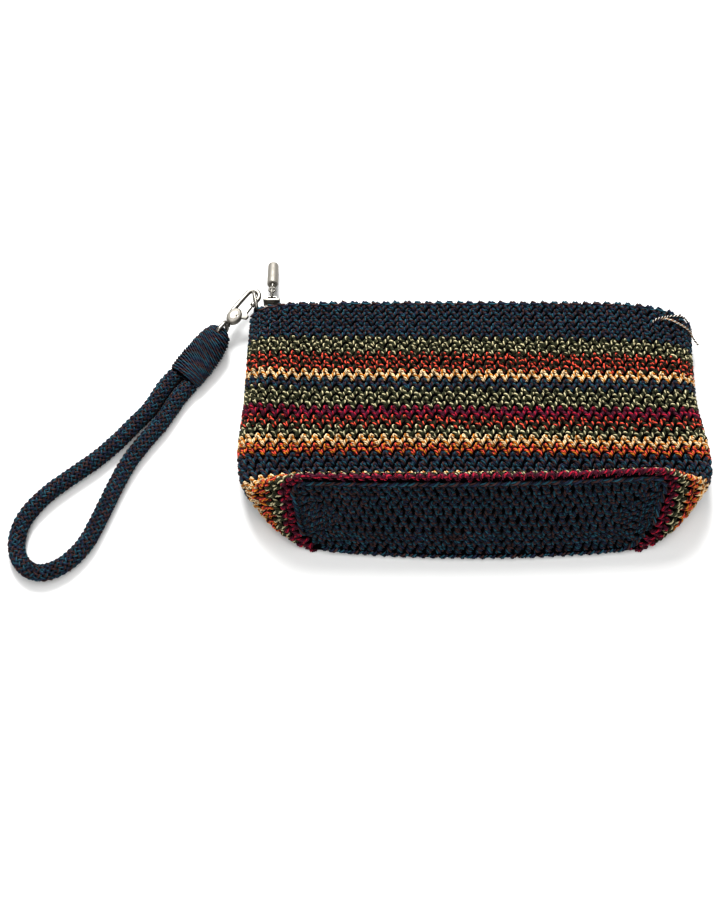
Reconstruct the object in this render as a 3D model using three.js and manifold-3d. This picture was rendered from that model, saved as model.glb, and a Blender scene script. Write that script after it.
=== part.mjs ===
// A crocheted zip wristlet lying on its back: a soft pouch with a flat oblong base, a zipped mouth,
// a swivel clasp on a ring at the left corner, and a rope wrist strap. Millimetres, +Z up.
// X runs along the pouch's width and Y from its base towards its mouth.
import * as THREE from 'three';
import { mergeVertices } from 'three/addons/utils/BufferGeometryUtils.js';
import Module from 'manifold-3d';

const wasm = await Module();
wasm.setup();

// Driving dimensions of the pouch
const POUCH_WIDTH = 203;
const LIP_Y = 114;
const ROWS = 24;
const CORNER_ROWS = 4;
const MIDDLE_ROWS = 13;
const WALL = 3.6;
const BASE_LENGTH = 168;
const BASE_DEPTH = 45;
const BASE_CORNER = 12;
const BASE_TILT = THREE.MathUtils.degToRad(62.9);
const BASE_EDGE_Y = 1.3;
const BASE_EDGE_Z = 0.4;
const RIDGE_CREASE = 6.5;
const BASE_TAPER = 4;
const LOW_BOW = 4.8;
const RIDGE_BOW = 1.8;
const RIDGE_TILT = 1.5;
const BASE_END_INSET = 2.8;
const CORNER_SPREAD = 9;
const ROW_PITCH = 4.4;
const LIP_HEIGHT = 16.4;
const LIP_FOLD = 7.8;
const MIDDLE_HEIGHT = 21;
const MIDDLE_FOLD = 10;
const CORNER_HEIGHT = 28;
const CORNER_FOLD = 13;
const LINING = 0.7;
const GAP = 0.3;
const REST_POINT_Y = 60;

// How far the back, the folds and the front reach in Y at the corner, middle and lip rings
const CORNER_BACK_RISE = 17.5;
const CORNER_LEFT_Y = 26.5;
const CORNER_RIGHT_Y = 28;
const CORNER_FRONT_Y = 28;
const MIDDLE_BACK_Y = 62.7;
const MIDDLE_LEFT_Y = 70;
const MIDDLE_RIGHT_Y = 68;
const MIDDLE_FRONT_Y = 67.26;
const LIP_LEFT_DROP = 5;
const LIP_RIGHT_DROP = 10.5;
const MIDDLE_NARROWING = 2.5;
const MIDDLE_SHIFT = -1.2;
const LIP_NARROWING = 3;

// Driving dimensions of the zip
const ZIP_INSET = 12.5;
const ZIP_LENGTH = POUCH_WIDTH - 2 * ZIP_INSET;
const TAPE = 0.6;
const TAPE_DEPTH = 12;
const ZIP_RISE = 2.1;
const COIL_DEPTH = 1.2;
const COIL_WIDTH = 1.7;
const TOOTH_PITCH = 3;
const TOOTH_REACH = 0.6;
const TOOTH_LENGTH = 1.1;
const SLIDER_LENGTH = 7.6;
const SLIDER_OVERHANG = 1.2;
const SLIDER_X = -ZIP_LENGTH / 2 - SLIDER_OVERHANG;
const SLIDER_WIDTH = 6;
const SLIDER_PLATE = 1.2;
const SLIDER_MOUTH = 2.4;
const TAPE_TAIL = 5;
const BRIDGE_WIRE = 0.9;
const BRIDGE_RISE = 2.4;
const BRIDGE_SPAN = 5.2;
const BRIDGE_WIDTH = 1.6;
const BRIDGE_CHAMFER = 0.6;
const BRIDGE_SEAT = 0.02;
const PULL_RING_RADIUS = 2.8;
const PULL_RING_WIRE = 0.55;
const BARREL_RADIUS = 2.5;
const BARREL_LENGTH = 13;
const BARREL_HEAD = 3.4;
const BARREL_RIM = 0.5;
const BARREL_EYE = 1.9;
const BARREL_PLATE = 1.5;
const BARREL_NECK = 2.2;
const BARREL_CLEAR = 0.12;
const STOP_LENGTH = 2.2;
const TAB_CLOTH = 0.6;
const LIP_DROP = 3.3;

// Driving dimensions of the corner ring and the clasp
const RING_WIRE = 0.75;
const RING_LENGTH = 8.8;
const RING_HEIGHT = 9.6;
const RING_CORNER = 2.6;
const CLASP_ANGLE = THREE.MathUtils.degToRad(52.3);
const CLASP_Z = 9.5;
const HOOK_X = -POUCH_WIDTH / 2 + 2.7;
const HOOK_Y = LIP_Y + 6.7;
const HOOK_RADIUS = 2.8;
const HOOK_WIRE = 2.0;
const HOOK_THICK = 2.4;
const HOOK_A = 26;
const BODY_START = 8.4;
const BODY_END = 17;
const BODY_WIDTH = 6.4;
const BODY_THICK = 4.4;
const PIVOT_A = 13;
const PIVOT_B = 1.5;
const GATE_THICK = 1.7;
const GATE_END = 21.4;
const PIN_RADIUS = 0.55;
const EYE_LENGTH = 8;
const EYE_HEIGHT = 10;
const EYE_WIRE = 1.9;
const STEM_RADIUS = 1.0;

// Driving dimensions of the wrist strap
const ROPE_RADIUS = 4;
const WHIP_LENGTH = 25;
const WHIP_WIDTH = 17.2;
const WHIP_START = 4.2;
const WHIP_HALF = 5;
const WHIP_LIFT = 0.05;
const WHIP_ROUND = 1.6;
const WHIP_SHOULDER = 5.3;
const BIGHT_RADIUS = 2.9;
const BIGHT_THICK = 2.9;
const BIGHT_HEIGHT = 4.4;
const BIGHT_TAIL = 9;

const ROPE_SIDES = 10;
const ROPE_STEPS = 46;

// The rope's route on the table between its two ends in the whipping, chosen by hand
const ROPE_ROUTE = [
  [-143.6, 66.7], [-150.0, 59.2], [-157.4, 50.6], [-166.0, 42.2], [-175.3, 34.9],
  [-184.6, 27.4], [-191.6, 20.0], [-196.2, 12.2], [-197.8, 3.7], [-196.2, -3.6],
  [-191.9, -8.6], [-186.1, -10.2], [-179.6, -8.2], [-173.4, -3.6], [-168.0, 3.2],
  [-164.0, 11.8], [-160.1, 21.4], [-156.0, 31.6], [-151.2, 41.6], [-145.0, 51.0],
  [-138.4, 59.8],
];

const YARN = new THREE.MeshStandardMaterial({ color: 0x22303c, roughness: 0.8, metalness: 0 });
const STRIPED = new THREE.MeshStandardMaterial({ color: 0x4a3a34, roughness: 0.8, metalness: 0 });
const ROPE = new THREE.MeshStandardMaterial({ color: 0x1c2733, roughness: 0.7, metalness: 0 });
const CLOTH = new THREE.MeshStandardMaterial({ color: 0x14181c, roughness: 0.9, metalness: 0 });
const TAPE_CLOTH = new THREE.MeshStandardMaterial({ color: 0x10161c, roughness: 0.85, metalness: 0 });
const NYLON = new THREE.MeshStandardMaterial({ color: 0x0d1116, roughness: 0.5, metalness: 0 });
const NICKEL = new THREE.MeshStandardMaterial({ color: 0xc9c4ba, roughness: 0.2, metalness: 1 });

const wristlet = new THREE.Group();
wristlet.position.set(0, -REST_POINT_Y, 0);

function addPart(parent, name, geometry, material) {
  const mesh = new THREE.Mesh(geometry, material);
  mesh.name = name;
  parent.add(mesh);
  return mesh;
}

// Closed geometry to solid and back
function toSolid(geometry) {
  const bare = geometry.clone();
  bare.deleteAttribute('normal');
  bare.deleteAttribute('uv');
  const merged = mergeVertices(bare, 1e-4);
  const vertProperties = new Float32Array(merged.attributes.position.array);
  const triVerts = new Uint32Array(merged.index.array);
  return new wasm.Manifold(new wasm.Mesh({ numProp: 3, vertProperties, triVerts }));
}

function toGeometry(solid) {
  const mesh = solid.getMesh();
  const geometry = new THREE.BufferGeometry();
  geometry.setAttribute('position', new THREE.BufferAttribute(mesh.vertProperties, 3));
  geometry.setIndex(new THREE.BufferAttribute(mesh.triVerts, 1));
  return geometry;
}

function join(geometries) {
  return geometries.map(toSolid).reduce((whole, piece) => whole.add(piece));
}

function boxBetween(low, high) {
  const size = high.map((value, k) => value - low[k]);
  const box = new THREE.BoxGeometry(...size);
  box.translate(...low.map((value, k) => value + size[k] / 2));
  return box;
}

function lerp(a, b, t) {
  return a + (b - a) * t;
}

// A curve's points spaced evenly along its length
function evenly(curve, samples) {
  const points = [];
  const lengths = [0];
  for (let k = 0; k <= samples; k++) {
    points.push(curve(k / samples));
    if (k > 0) {
      lengths.push(lengths[k - 1] + points[k].distanceTo(points[k - 1]));
    }
  }
  return (fraction) => {
    const target = fraction * lengths[samples];
    let k = 1;
    while (k < samples && lengths[k] < target) {
      k++;
    }
    const t = (target - lengths[k - 1]) / (lengths[k] - lengths[k - 1]);
    return points[k - 1].clone().lerp(points[k], t);
  };
}

// Half of a flattened tube's section, from its left fold to its right fold
function foldedHalf(width, fold, height, front) {
  const reach = width / 2;
  const flat = reach - fold;
  const arc = fold * Math.PI / 2;
  const total = 2 * arc + 2 * flat;
  return evenly((f) => {
    const s = Math.min(f, 1 - f) * total;
    const side = f < 0.5 ? -1 : 1;
    if (s < arc) {
      const angle = s / fold;
      const z = front ? fold + fold * Math.sin(angle) : fold - fold * Math.sin(angle);
      return new THREE.Vector3(side * (flat + fold * Math.cos(angle)), 0, z);
    }
    const x = side * (flat - (s - arc));
    const arch = (height - 2 * fold) * (1 - (x / flat) ** 2);
    return new THREE.Vector3(x, 0, front ? 2 * fold + arch : 0);
  }, 160);
}

// Half of the base's rounded outline, in the base's own plane, from the left side's middle to the right's
function baseHalf(length, depth, corner, front) {
  const side = depth / 2 - corner;
  const arc = corner * Math.PI / 2;
  const run = length / 2 - corner;
  const total = 2 * (side + arc + run);
  const up = front ? 1 : -1;
  return (f) => {
    const s = Math.min(f, 1 - f) * total;
    const hand = f < 0.5 ? -1 : 1;
    if (s < side) {
      return new THREE.Vector2(hand * length / 2, up * s);
    }
    if (s < side + arc) {
      const angle = (s - side) / corner;
      const across = run + corner * Math.cos(angle);
      return new THREE.Vector2(hand * across, up * (side + corner * Math.sin(angle)));
    }
    return new THREE.Vector2(hand * (run - (s - side - arc)), up * depth / 2);
  };
}

const BASE_UP = new THREE.Vector3(0, Math.cos(BASE_TILT), Math.sin(BASE_TILT));
const BASE_IN = new THREE.Vector3(0, Math.sin(BASE_TILT), -Math.cos(BASE_TILT));
const BASE_EDGE = new THREE.Vector3(0, BASE_EDGE_Y, BASE_EDGE_Z);

// The base's outer face, bowed out at its middle and narrower at its lower edge. w is 0 at its middle
function baseFace(x, w) {
  const share = w / BASE_DEPTH + 0.5;
  const along = x / (BASE_LENGTH / 2);
  const low = LOW_BOW * (1 - along ** 2);
  const high = RIDGE_BOW * (1 - along ** 2) - RIDGE_TILT * along;
  const point = BASE_EDGE.clone().addScaledVector(BASE_UP, w + BASE_DEPTH / 2);
  point.x = x * lerp(1 - 2 * BASE_TAPER / BASE_LENGTH, 1, share);
  point.y -= lerp(low, high, share);
  return point;
}

// Rings of the wall above the base: width, fold radius, height, and how far each side reaches in Y
const RINGS = [
  {
    row: CORNER_ROWS, width: POUCH_WIDTH, shift: 0, fold: CORNER_FOLD, height: CORNER_HEIGHT,
    back: BASE_EDGE_Y + CORNER_BACK_RISE, front: CORNER_FRONT_Y,
    left: CORNER_LEFT_Y, right: CORNER_RIGHT_Y, leftBend: 6, rightBend: 6,
  },
  {
    row: MIDDLE_ROWS, width: POUCH_WIDTH - MIDDLE_NARROWING, shift: MIDDLE_SHIFT,
    fold: MIDDLE_FOLD, height: MIDDLE_HEIGHT,
    back: MIDDLE_BACK_Y, front: MIDDLE_FRONT_Y,
    left: MIDDLE_LEFT_Y, right: MIDDLE_RIGHT_Y, leftBend: 8, rightBend: 8,
  },
  {
    row: ROWS, width: POUCH_WIDTH - LIP_NARROWING, shift: 0, fold: LIP_FOLD, height: LIP_HEIGHT,
    back: LIP_Y, front: LIP_Y,
    left: LIP_Y - LIP_LEFT_DROP, right: LIP_Y - LIP_RIGHT_DROP, leftBend: 14, rightBend: 8,
  },
];

function ringSection(ring, front) {
  const half = foldedHalf(ring.width, ring.fold, ring.height, front);
  return (f) => {
    const point = half(f);
    const left = point.x < 0;
    const reach = Math.abs(point.x) / (ring.width / 2);
    const end = left ? ring.left : ring.right;
    const middle = front ? ring.front : ring.back;
    point.y = lerp(middle, end, reach ** (left ? ring.leftBend : ring.rightBend));
    point.x += ring.shift;
    return point;
  };
}

const SECTIONS = {
  true: RINGS.map((ring) => ringSection(ring, true)),
  false: RINGS.map((ring) => ringSection(ring, false)),
};
const BASE_OUTLINE = {
  true: baseHalf(BASE_LENGTH, BASE_DEPTH, BASE_CORNER, true),
  false: baseHalf(BASE_LENGTH, BASE_DEPTH, BASE_CORNER, false),
};

// The wall's outer face. u goes round: 0 left fold, under the back to 0.5 right fold, over the front to 1
function wallFace(u, row) {
  const turn = ((u % 1) + 1) % 1;
  const front = turn > 0.5;
  const f = front ? 2 * (1 - turn) : 2 * turn;
  const flat = BASE_OUTLINE[front](f);
  const points = [baseFace(flat.x, flat.y), ...SECTIONS[front].map((section) => section(f))];
  const rows = [0, ...RINGS.map((ring) => ring.row)];
  const slopes = points.map((point, k) => {
    if (k === 0) {
      const round = Math.max(0, Math.abs(flat.x) - BASE_LENGTH / 2 + BASE_CORNER) / BASE_CORNER;
      const out = CORNER_SPREAD * round;
      return BASE_IN.clone().multiplyScalar(ROW_PITCH).setX(Math.sign(flat.x) * out);
    }
    const next = Math.min(k + 1, points.length - 1);
    return points[next].clone().sub(points[k - 1]).divideScalar(rows[next] - rows[k - 1]);
  });
  let k = 1;
  while (k < rows.length - 1 && row > rows[k]) {
    k++;
  }
  const span = rows[k] - rows[k - 1];
  const t = (row - rows[k - 1]) / span;
  const face = points[k - 1].clone().multiplyScalar(2 * t ** 3 - 3 * t ** 2 + 1);
  face.addScaledVector(slopes[k - 1], (t ** 3 - 2 * t ** 2 + t) * span);
  face.addScaledVector(points[k], 3 * t ** 2 - 2 * t ** 3);
  face.addScaledVector(slopes[k], (t ** 3 - t ** 2) * span);
  face.z = Math.max(face.z, 0);
  return face;
}

function wallPoint(u, row, depth) {
  const du = 0.002;
  const dv = 0.15;
  const alongU = wallFace(u + du, row).sub(wallFace(u - du, row));
  const low = Math.max(0, row - dv);
  const high = Math.min(ROWS, row + dv);
  const alongV = wallFace(u, high).sub(wallFace(u, low));
  const inward = alongU.cross(alongV).normalize();
  return wallFace(u, row).addScaledVector(inward, depth);
}

// A closed skin over the grid cells that keep(i, j) names, between two depths
function skin(us, rows, closed, keep, shallow, deep, place = wallPoint) {
  const columns = closed ? us.length : us.length - 1;
  const positions = [];
  const layers = [shallow, deep].map((depth) => rows.map((row) => us.map((u) => place(u, row, depth))));
  const at = (layer, i, j) => layers[layer][j][i % us.length];
  const kept = (i, j) => {
    const column = closed ? (i + columns) % columns : i;
    return column >= 0 && column < columns && j >= 0 && j < rows.length - 1 && keep(column, j);
  };
  const face = (a, b, c, d) => {
    for (const point of [a, c, b, a, d, c]) {
      positions.push(point.x, point.y, point.z);
    }
  };
  for (let j = 0; j < rows.length - 1; j++) {
    for (let i = 0; i < columns; i++) {
      if (!kept(i, j)) {
        continue;
      }
      const [o00, o10, o11, o01] = [at(0, i, j), at(0, i + 1, j), at(0, i + 1, j + 1), at(0, i, j + 1)];
      const [n00, n10, n11, n01] = [at(1, i, j), at(1, i + 1, j), at(1, i + 1, j + 1), at(1, i, j + 1)];
      face(o00, o10, o11, o01);
      face(n00, n01, n11, n10);
      if (!kept(i, j - 1)) {
        face(o00, n00, n10, o10);
      }
      if (!kept(i, j + 1)) {
        face(o01, o11, n11, n01);
      }
      if (!kept(i - 1, j)) {
        face(o00, o01, n01, n00);
      }
      if (!kept(i + 1, j)) {
        face(o10, n10, n11, o11);
      }
    }
  }
  const geometry = new THREE.BufferGeometry();
  geometry.setAttribute('position', new THREE.Float32BufferAttribute(positions, 3));
  return mergeVertices(geometry, 1e-5);
}

// Places round the wall, close together at the folds
const HALF_CELLS = 22;

function aroundHalf(start, end) {
  const places = [];
  for (let k = 0; k <= HALF_CELLS; k++) {
    places.push(lerp(start, end, 0.5 - 0.5 * Math.cos(Math.PI * k / HALF_CELLS)));
  }
  return places;
}

const SPLIT_ROW = CORNER_ROWS;
const SPLIT_GAP_U = 0.0012;
const SPLIT_GAP_ROW = 0.12;
const LOW_ROWS = [0, 0.2, 0.4, 0.6, 0.8, 1].map((share) => share * SPLIT_ROW);
const LINING_SKIPS = 3;
const HIGH_ROWS = [6, 9, 12, 15, 18, 21, ROWS];
const AROUND = [...aroundHalf(0, 0.5), ...aroundHalf(0.5, 1).slice(1, -1)];

function backKept(i, j) {
  return j < LOW_ROWS.length - 1 || i < HALF_CELLS;
}

// The wall's lining leaves out the first strips of the wall, where the base's own lining lies
function liningKept(i, j) {
  return j >= LINING_SKIPS && backKept(i, j);
}

// The lining is cut back where the wall folds sharply behind the ends of the ridge
function makePouchBack() {
  const rows = [...LOW_ROWS, ...HIGH_ROWS];
  const wall = skin(AROUND, rows, true, backKept, 0, WALL);
  addPart(wristlet, 'crochet_back', wall, STRIPED);
  const room = skin(AROUND, rows, true, backKept, WALL / 2, WALL + GAP / 2);
  const lining = toSolid(skin(AROUND, rows, true, liningKept, WALL + GAP, WALL + GAP + LINING));
  const cut = lining.subtract(toSolid(room)).subtract(toSolid(wall)).subtract(toSolid(baseLining(GAP)));
  const [largest] = cut.decompose().sort((a, b) => b.volume() - a.volume());
  addPart(wristlet, 'lining_back', toGeometry(largest), CLOTH);
}

function makePouchFront() {
  const us = aroundHalf(0.5 + SPLIT_GAP_U, 1 - SPLIT_GAP_U);
  const rows = [SPLIT_ROW + SPLIT_GAP_ROW, ...HIGH_ROWS];
  addPart(wristlet, 'crochet_front', skin(us, rows, false, () => true, 0, WALL), STRIPED);
  const lining = skin(us, rows, false, () => true, WALL + GAP, WALL + GAP + LINING);
  addPart(wristlet, 'lining_front', lining, CLOTH);
}

// Places across the base's length, close together at its rounded ends
const BASE_CELLS = 24;
const BASE_STRIPS = 5;
const ACROSS = [];
const UPWARD = [];
for (let k = 0; k <= BASE_CELLS; k++) {
  ACROSS.push(0.5 - 0.5 * Math.cos(Math.PI * k / BASE_CELLS));
}
for (let k = 0; k <= BASE_STRIPS; k++) {
  UPWARD.push(k / BASE_STRIPS);
}

// A panel of the base, held in from the wall at its ends, its lower side and its ridge
function basePanel(end, low, high, shallow, deep) {
  const reach = BASE_LENGTH / 2 - end;
  const half = (BASE_DEPTH - low - high) / 2;
  const corner = BASE_CORNER - low;
  const place = (u, row, depth) => {
    const x = lerp(reach, -reach, u);
    const past = Math.max(0, Math.abs(x) - reach + corner);
    const rise = half - corner + Math.sqrt(Math.max(0, corner ** 2 - past ** 2));
    const w = lerp(-rise, rise, row) + (low - high) / 2;
    return baseFace(x, w).addScaledVector(BASE_IN, depth);
  };
  return skin(ACROSS, UPWARD, false, () => true, shallow, deep, place);
}

// How far a panel of the base is held in from the base's outline, for the depth of its inner face
function panelInset(depth) {
  return (depth + GAP + depth * Math.cos(BASE_TILT) - BASE_EDGE_Z) / Math.sin(BASE_TILT);
}

// The base's lining, or with a clearance the room that it takes
function baseLining(clearance) {
  const depth = WALL + GAP + LINING;
  const inset = panelInset(depth) - clearance;
  const ridge = depth + RIDGE_CREASE - clearance;
  return basePanel(inset, inset, ridge, WALL + GAP - clearance, depth + clearance);
}

// The base and its lining lie inside the first row of the wall
function makeBase() {
  const outside = basePanel(BASE_END_INSET, panelInset(WALL), WALL + RIDGE_CREASE, 0, WALL);
  addPart(wristlet, 'crochet_base', outside, YARN);
  addPart(wristlet, 'lining_base', baseLining(0), CLOTH);
}

// The zip lies across the mouth, its flat face just past the lips
const MOUTH_LOW = WALL + LINING + 2 * GAP;
const MOUTH_HIGH = 2 * LIP_FOLD - WALL - LINING - 2 * GAP;
const ZIP_Z = (MOUTH_LOW + MOUTH_HIGH) / 2;
const ZIP_Y = LIP_Y + ZIP_RISE;
const ZIP_START = -ZIP_LENGTH / 2;
const COIL_Y = ZIP_Y + GAP;
const COIL_HALF = TOOTH_REACH / 2 + GAP;

// side is -1 for the back tape and 1 for the front one
function makeTape(side) {
  const edge = side < 0 ? MOUTH_LOW : MOUTH_HIGH;
  const shape = new THREE.Shape();
  shape.moveTo(LIP_Y - TAPE_DEPTH, edge);
  shape.lineTo(ZIP_Y, edge);
  shape.lineTo(ZIP_Y, ZIP_Z + side * COIL_HALF);
  shape.lineTo(ZIP_Y - TAPE, ZIP_Z + side * COIL_HALF);
  shape.lineTo(ZIP_Y - TAPE, edge - side * TAPE);
  shape.lineTo(LIP_Y - TAPE_DEPTH, edge - side * TAPE);
  const tape = new THREE.ExtrudeGeometry(shape, { depth: ZIP_LENGTH, bevelEnabled: false });
  tape.applyMatrix4(new THREE.Matrix4().makeBasis(
    new THREE.Vector3(0, 1, 0), new THREE.Vector3(0, 0, 1), new THREE.Vector3(1, 0, 0)));
  tape.translate(ZIP_START, 0, 0);
  return tape;
}

const COIL_START = SLIDER_X + SLIDER_LENGTH / 2 - SLIDER_MOUTH;
const COIL_END = ZIP_START + ZIP_LENGTH - TAPE_TAIL;

// A strip of coil with its teeth along the edge that meets the other strip
function makeCoil(side) {
  const inner = ZIP_Z + side * COIL_HALF;
  const outer = ZIP_Z + side * (COIL_HALF + COIL_WIDTH);
  const reach = ZIP_Z - side * TOOTH_REACH;
  const outline = new THREE.Shape();
  outline.moveTo(COIL_START, outer);
  outline.lineTo(COIL_START, inner);
  const teeth = Math.floor((COIL_END - COIL_START) / TOOTH_PITCH);
  for (let k = 0; k < teeth; k++) {
    const middle = COIL_START + (k + (side < 0 ? 0.25 : 0.75)) * TOOTH_PITCH;
    outline.lineTo(middle - TOOTH_LENGTH / 2, inner);
    outline.lineTo(middle - TOOTH_LENGTH / 2, reach);
    outline.lineTo(middle + TOOTH_LENGTH / 2, reach);
    outline.lineTo(middle + TOOTH_LENGTH / 2, inner);
  }
  outline.lineTo(COIL_END, inner);
  outline.lineTo(COIL_END, outer);
  const coil = new THREE.ExtrudeGeometry(outline, { depth: COIL_DEPTH, bevelEnabled: false });
  coil.applyMatrix4(new THREE.Matrix4().makeBasis(
    new THREE.Vector3(1, 0, 0), new THREE.Vector3(0, 0, 1), new THREE.Vector3(0, -1, 0)));
  coil.translate(0, COIL_Y + COIL_DEPTH, 0);
  return coil;
}

function makeZip() {
  addPart(wristlet, 'zipper_tape_back', makeTape(-1), TAPE_CLOTH);
  addPart(wristlet, 'zipper_tape_front', makeTape(1), TAPE_CLOTH);
  addPart(wristlet, 'zipper_coil_back', makeCoil(-1), NYLON);
  addPart(wristlet, 'zipper_coil_front', makeCoil(1), NYLON);
  const stopStart = COIL_END + GAP;
  const stopHalf = COIL_HALF + COIL_WIDTH;
  const stop = boxBetween(
    [stopStart, COIL_Y, ZIP_Z - stopHalf], [stopStart + STOP_LENGTH, COIL_Y + COIL_DEPTH, ZIP_Z - GAP]);
  addPart(wristlet, 'zipper_bottom_stop', stop, NICKEL);
}

const SLIDER_LOW = ZIP_Y - TAPE - GAP;
const SLIDER_HIGH = COIL_Y + COIL_DEPTH + GAP;
const SLIDER_START = SLIDER_X - SLIDER_LENGTH / 2;
const SLIDER_TOP = SLIDER_HIGH + SLIDER_PLATE;

function makeSlider() {
  const end = SLIDER_START + SLIDER_LENGTH;
  const inside = (MOUTH_HIGH - MOUTH_LOW) / 2 - TAPE - GAP;
  const half = SLIDER_WIDTH / 2;
  const innerPlate = boxBetween(
    [SLIDER_START, SLIDER_LOW - SLIDER_PLATE, ZIP_Z - inside], [end, SLIDER_LOW, ZIP_Z + inside]);
  const outerPlate = boxBetween(
    [SLIDER_START, SLIDER_HIGH, ZIP_Z - half], [end, SLIDER_TOP, ZIP_Z + half]);
  const wedge = boxBetween(
    [SLIDER_START + 0.6, SLIDER_LOW - SLIDER_PLATE / 2, ZIP_Z - COIL_HALF + GAP],
    [COIL_START - GAP, SLIDER_TOP - SLIDER_PLATE / 2, ZIP_Z + COIL_HALF - GAP]);
  addPart(wristlet, 'zipper_slider', toGeometry(join([innerPlate, outerPlate, wedge])), NICKEL);
  const foot = BRIDGE_WIRE;
  const bridgeHalf = BRIDGE_SPAN / 2;
  const chamfer = BRIDGE_CHAMFER;
  const outline = new THREE.Shape();
  outline.moveTo(-bridgeHalf, 0);
  outline.lineTo(-bridgeHalf + foot, 0);
  outline.lineTo(-bridgeHalf + foot, BRIDGE_RISE - foot);
  outline.lineTo(bridgeHalf - foot, BRIDGE_RISE - foot);
  outline.lineTo(bridgeHalf - foot, 0);
  outline.lineTo(bridgeHalf, 0);
  outline.lineTo(bridgeHalf, BRIDGE_RISE - chamfer);
  outline.lineTo(bridgeHalf - chamfer, BRIDGE_RISE);
  outline.lineTo(-bridgeHalf + chamfer, BRIDGE_RISE);
  outline.lineTo(-bridgeHalf, BRIDGE_RISE - chamfer);
  const bridge = new THREE.ExtrudeGeometry(outline, { depth: BRIDGE_WIDTH, bevelEnabled: false });
  bridge.translate(SLIDER_X, SLIDER_TOP + BRIDGE_SEAT, ZIP_Z - BRIDGE_WIDTH / 2);
  addPart(wristlet, 'slider_bridge', bridge, NICKEL);
}

// The pull ring stands in a Y-Z plane and passes under the bridge; the barrel hangs on its far side
const PULL_RING_Y = SLIDER_TOP + (BRIDGE_RISE - BRIDGE_WIRE) / 2 + PULL_RING_RADIUS;

function makePull() {
  const ring = new THREE.TorusGeometry(PULL_RING_RADIUS, PULL_RING_WIRE, 8, 28);
  ring.rotateY(Math.PI / 2);
  ring.translate(SLIDER_X, PULL_RING_Y, ZIP_Z);
  addPart(wristlet, 'pull_ring', ring, NICKEL);

  const bore = PULL_RING_WIRE + GAP;
  const reach = PULL_RING_RADIUS + BARREL_HEAD + BARREL_LENGTH;
  const lowest = Math.asin((ZIP_Z - BARREL_CLEAR) / Math.hypot(reach, BARREL_RADIUS));
  const droop = lowest - Math.atan(BARREL_RADIUS / reach);
  const pull = new THREE.Group();
  pull.position.set(SLIDER_X, PULL_RING_Y, ZIP_Z);
  pull.rotation.x = -droop;
  wristlet.add(pull);
  const profile = [
    [0, 0], [BARREL_RADIUS - BARREL_RIM, 0],
    [BARREL_RADIUS, BARREL_RIM], [BARREL_RADIUS, BARREL_LENGTH - BARREL_RIM],
    [BARREL_RADIUS - BARREL_RIM, BARREL_LENGTH], [0, BARREL_LENGTH],
  ].map(([r, y]) => new THREE.Vector2(r, y));
  const barrel = new THREE.LatheGeometry(profile, 20);
  barrel.translate(0, PULL_RING_RADIUS + BARREL_HEAD, 0);
  const plate = new THREE.CylinderGeometry(BARREL_EYE, BARREL_EYE, BARREL_PLATE, 20);
  plate.rotateX(Math.PI / 2);
  plate.translate(0, PULL_RING_RADIUS, 0);
  const neck = boxBetween(
    [-BARREL_NECK / 2, PULL_RING_RADIUS + BARREL_EYE - BARREL_RIM, -BARREL_PLATE / 2],
    [BARREL_NECK / 2, PULL_RING_RADIUS + BARREL_HEAD + BARREL_RIM, BARREL_PLATE / 2]);
  const hole = new THREE.TorusGeometry(PULL_RING_RADIUS, bore, 10, 40);
  hole.rotateY(Math.PI / 2);
  const solid = join([barrel, plate, neck]).subtract(toSolid(hole));
  addPart(pull, 'barrel_pull', toGeometry(solid), NICKEL);
}

// The corner ring: a straight bar in the tab at the lip's corner, and an outer side inside the hook
const RING_LEAN = Math.atan2(-0.98, 0.2);
const RING_SEAT = HOOK_RADIUS - HOOK_WIRE / 2 - RING_WIRE - GAP;
const BAR_X = HOOK_X + RING_SEAT * Math.cos(CLASP_ANGLE) + RING_LENGTH * Math.cos(RING_LEAN);
const BAR_Y = HOOK_Y + RING_SEAT * Math.sin(CLASP_ANGLE) + RING_LENGTH * Math.sin(RING_LEAN);

class RoundedRing extends THREE.Curve {
  constructor(length, height, corner) {
    super();
    this.length = length;
    this.height = height;
    this.corner = corner;
    const h = height / 2 - corner;
    this.path = new THREE.Path();
    this.path.moveTo(0, -h);
    this.path.lineTo(0, h);
    this.path.absarc(corner, h, corner, Math.PI, Math.PI / 2, true);
    this.path.lineTo(length - corner, height / 2);
    this.path.absarc(length - corner, h, corner, Math.PI / 2, 0, true);
    this.path.lineTo(length, -h);
    this.path.absarc(length - corner, -h, corner, 0, -Math.PI / 2, true);
    this.path.lineTo(corner, -height / 2);
    this.path.absarc(corner, -h, corner, -Math.PI / 2, -Math.PI, true);
  }

  getPoint(t, target = new THREE.Vector3()) {
    const point = this.path.getPointAt(t % 1);
    return target.set(point.x, 0, point.y);
  }
}

// A wire bent into a closed ring, as one body
function closedWire(curve, radius, steps, sides) {
  const positions = [];
  const index = [];
  for (let k = 0; k < steps; k++) {
    const here = curve.getPoint(k / steps);
    const ahead = curve.getPoint(((k + 0.5) / steps) % 1);
    const behind = curve.getPoint(((k - 0.5 + steps) / steps) % 1);
    const along = ahead.sub(behind).normalize();
    const across = new THREE.Vector3(0, 1, 0);
    const up = along.clone().cross(across);
    for (let j = 0; j < sides; j++) {
      const angle = 2 * Math.PI * j / sides;
      const point = here.clone().addScaledVector(across, radius * Math.cos(angle));
      point.addScaledVector(up, radius * Math.sin(angle));
      positions.push(point.x, point.y, point.z);
      const next = (k + 1) % steps;
      const turn = (j + 1) % sides;
      index.push(k * sides + j, next * sides + turn, next * sides + j);
      index.push(k * sides + j, k * sides + turn, next * sides + turn);
    }
  }
  const geometry = new THREE.BufferGeometry();
  geometry.setAttribute('position', new THREE.Float32BufferAttribute(positions, 3));
  geometry.setIndex(index);
  return geometry;
}

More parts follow.
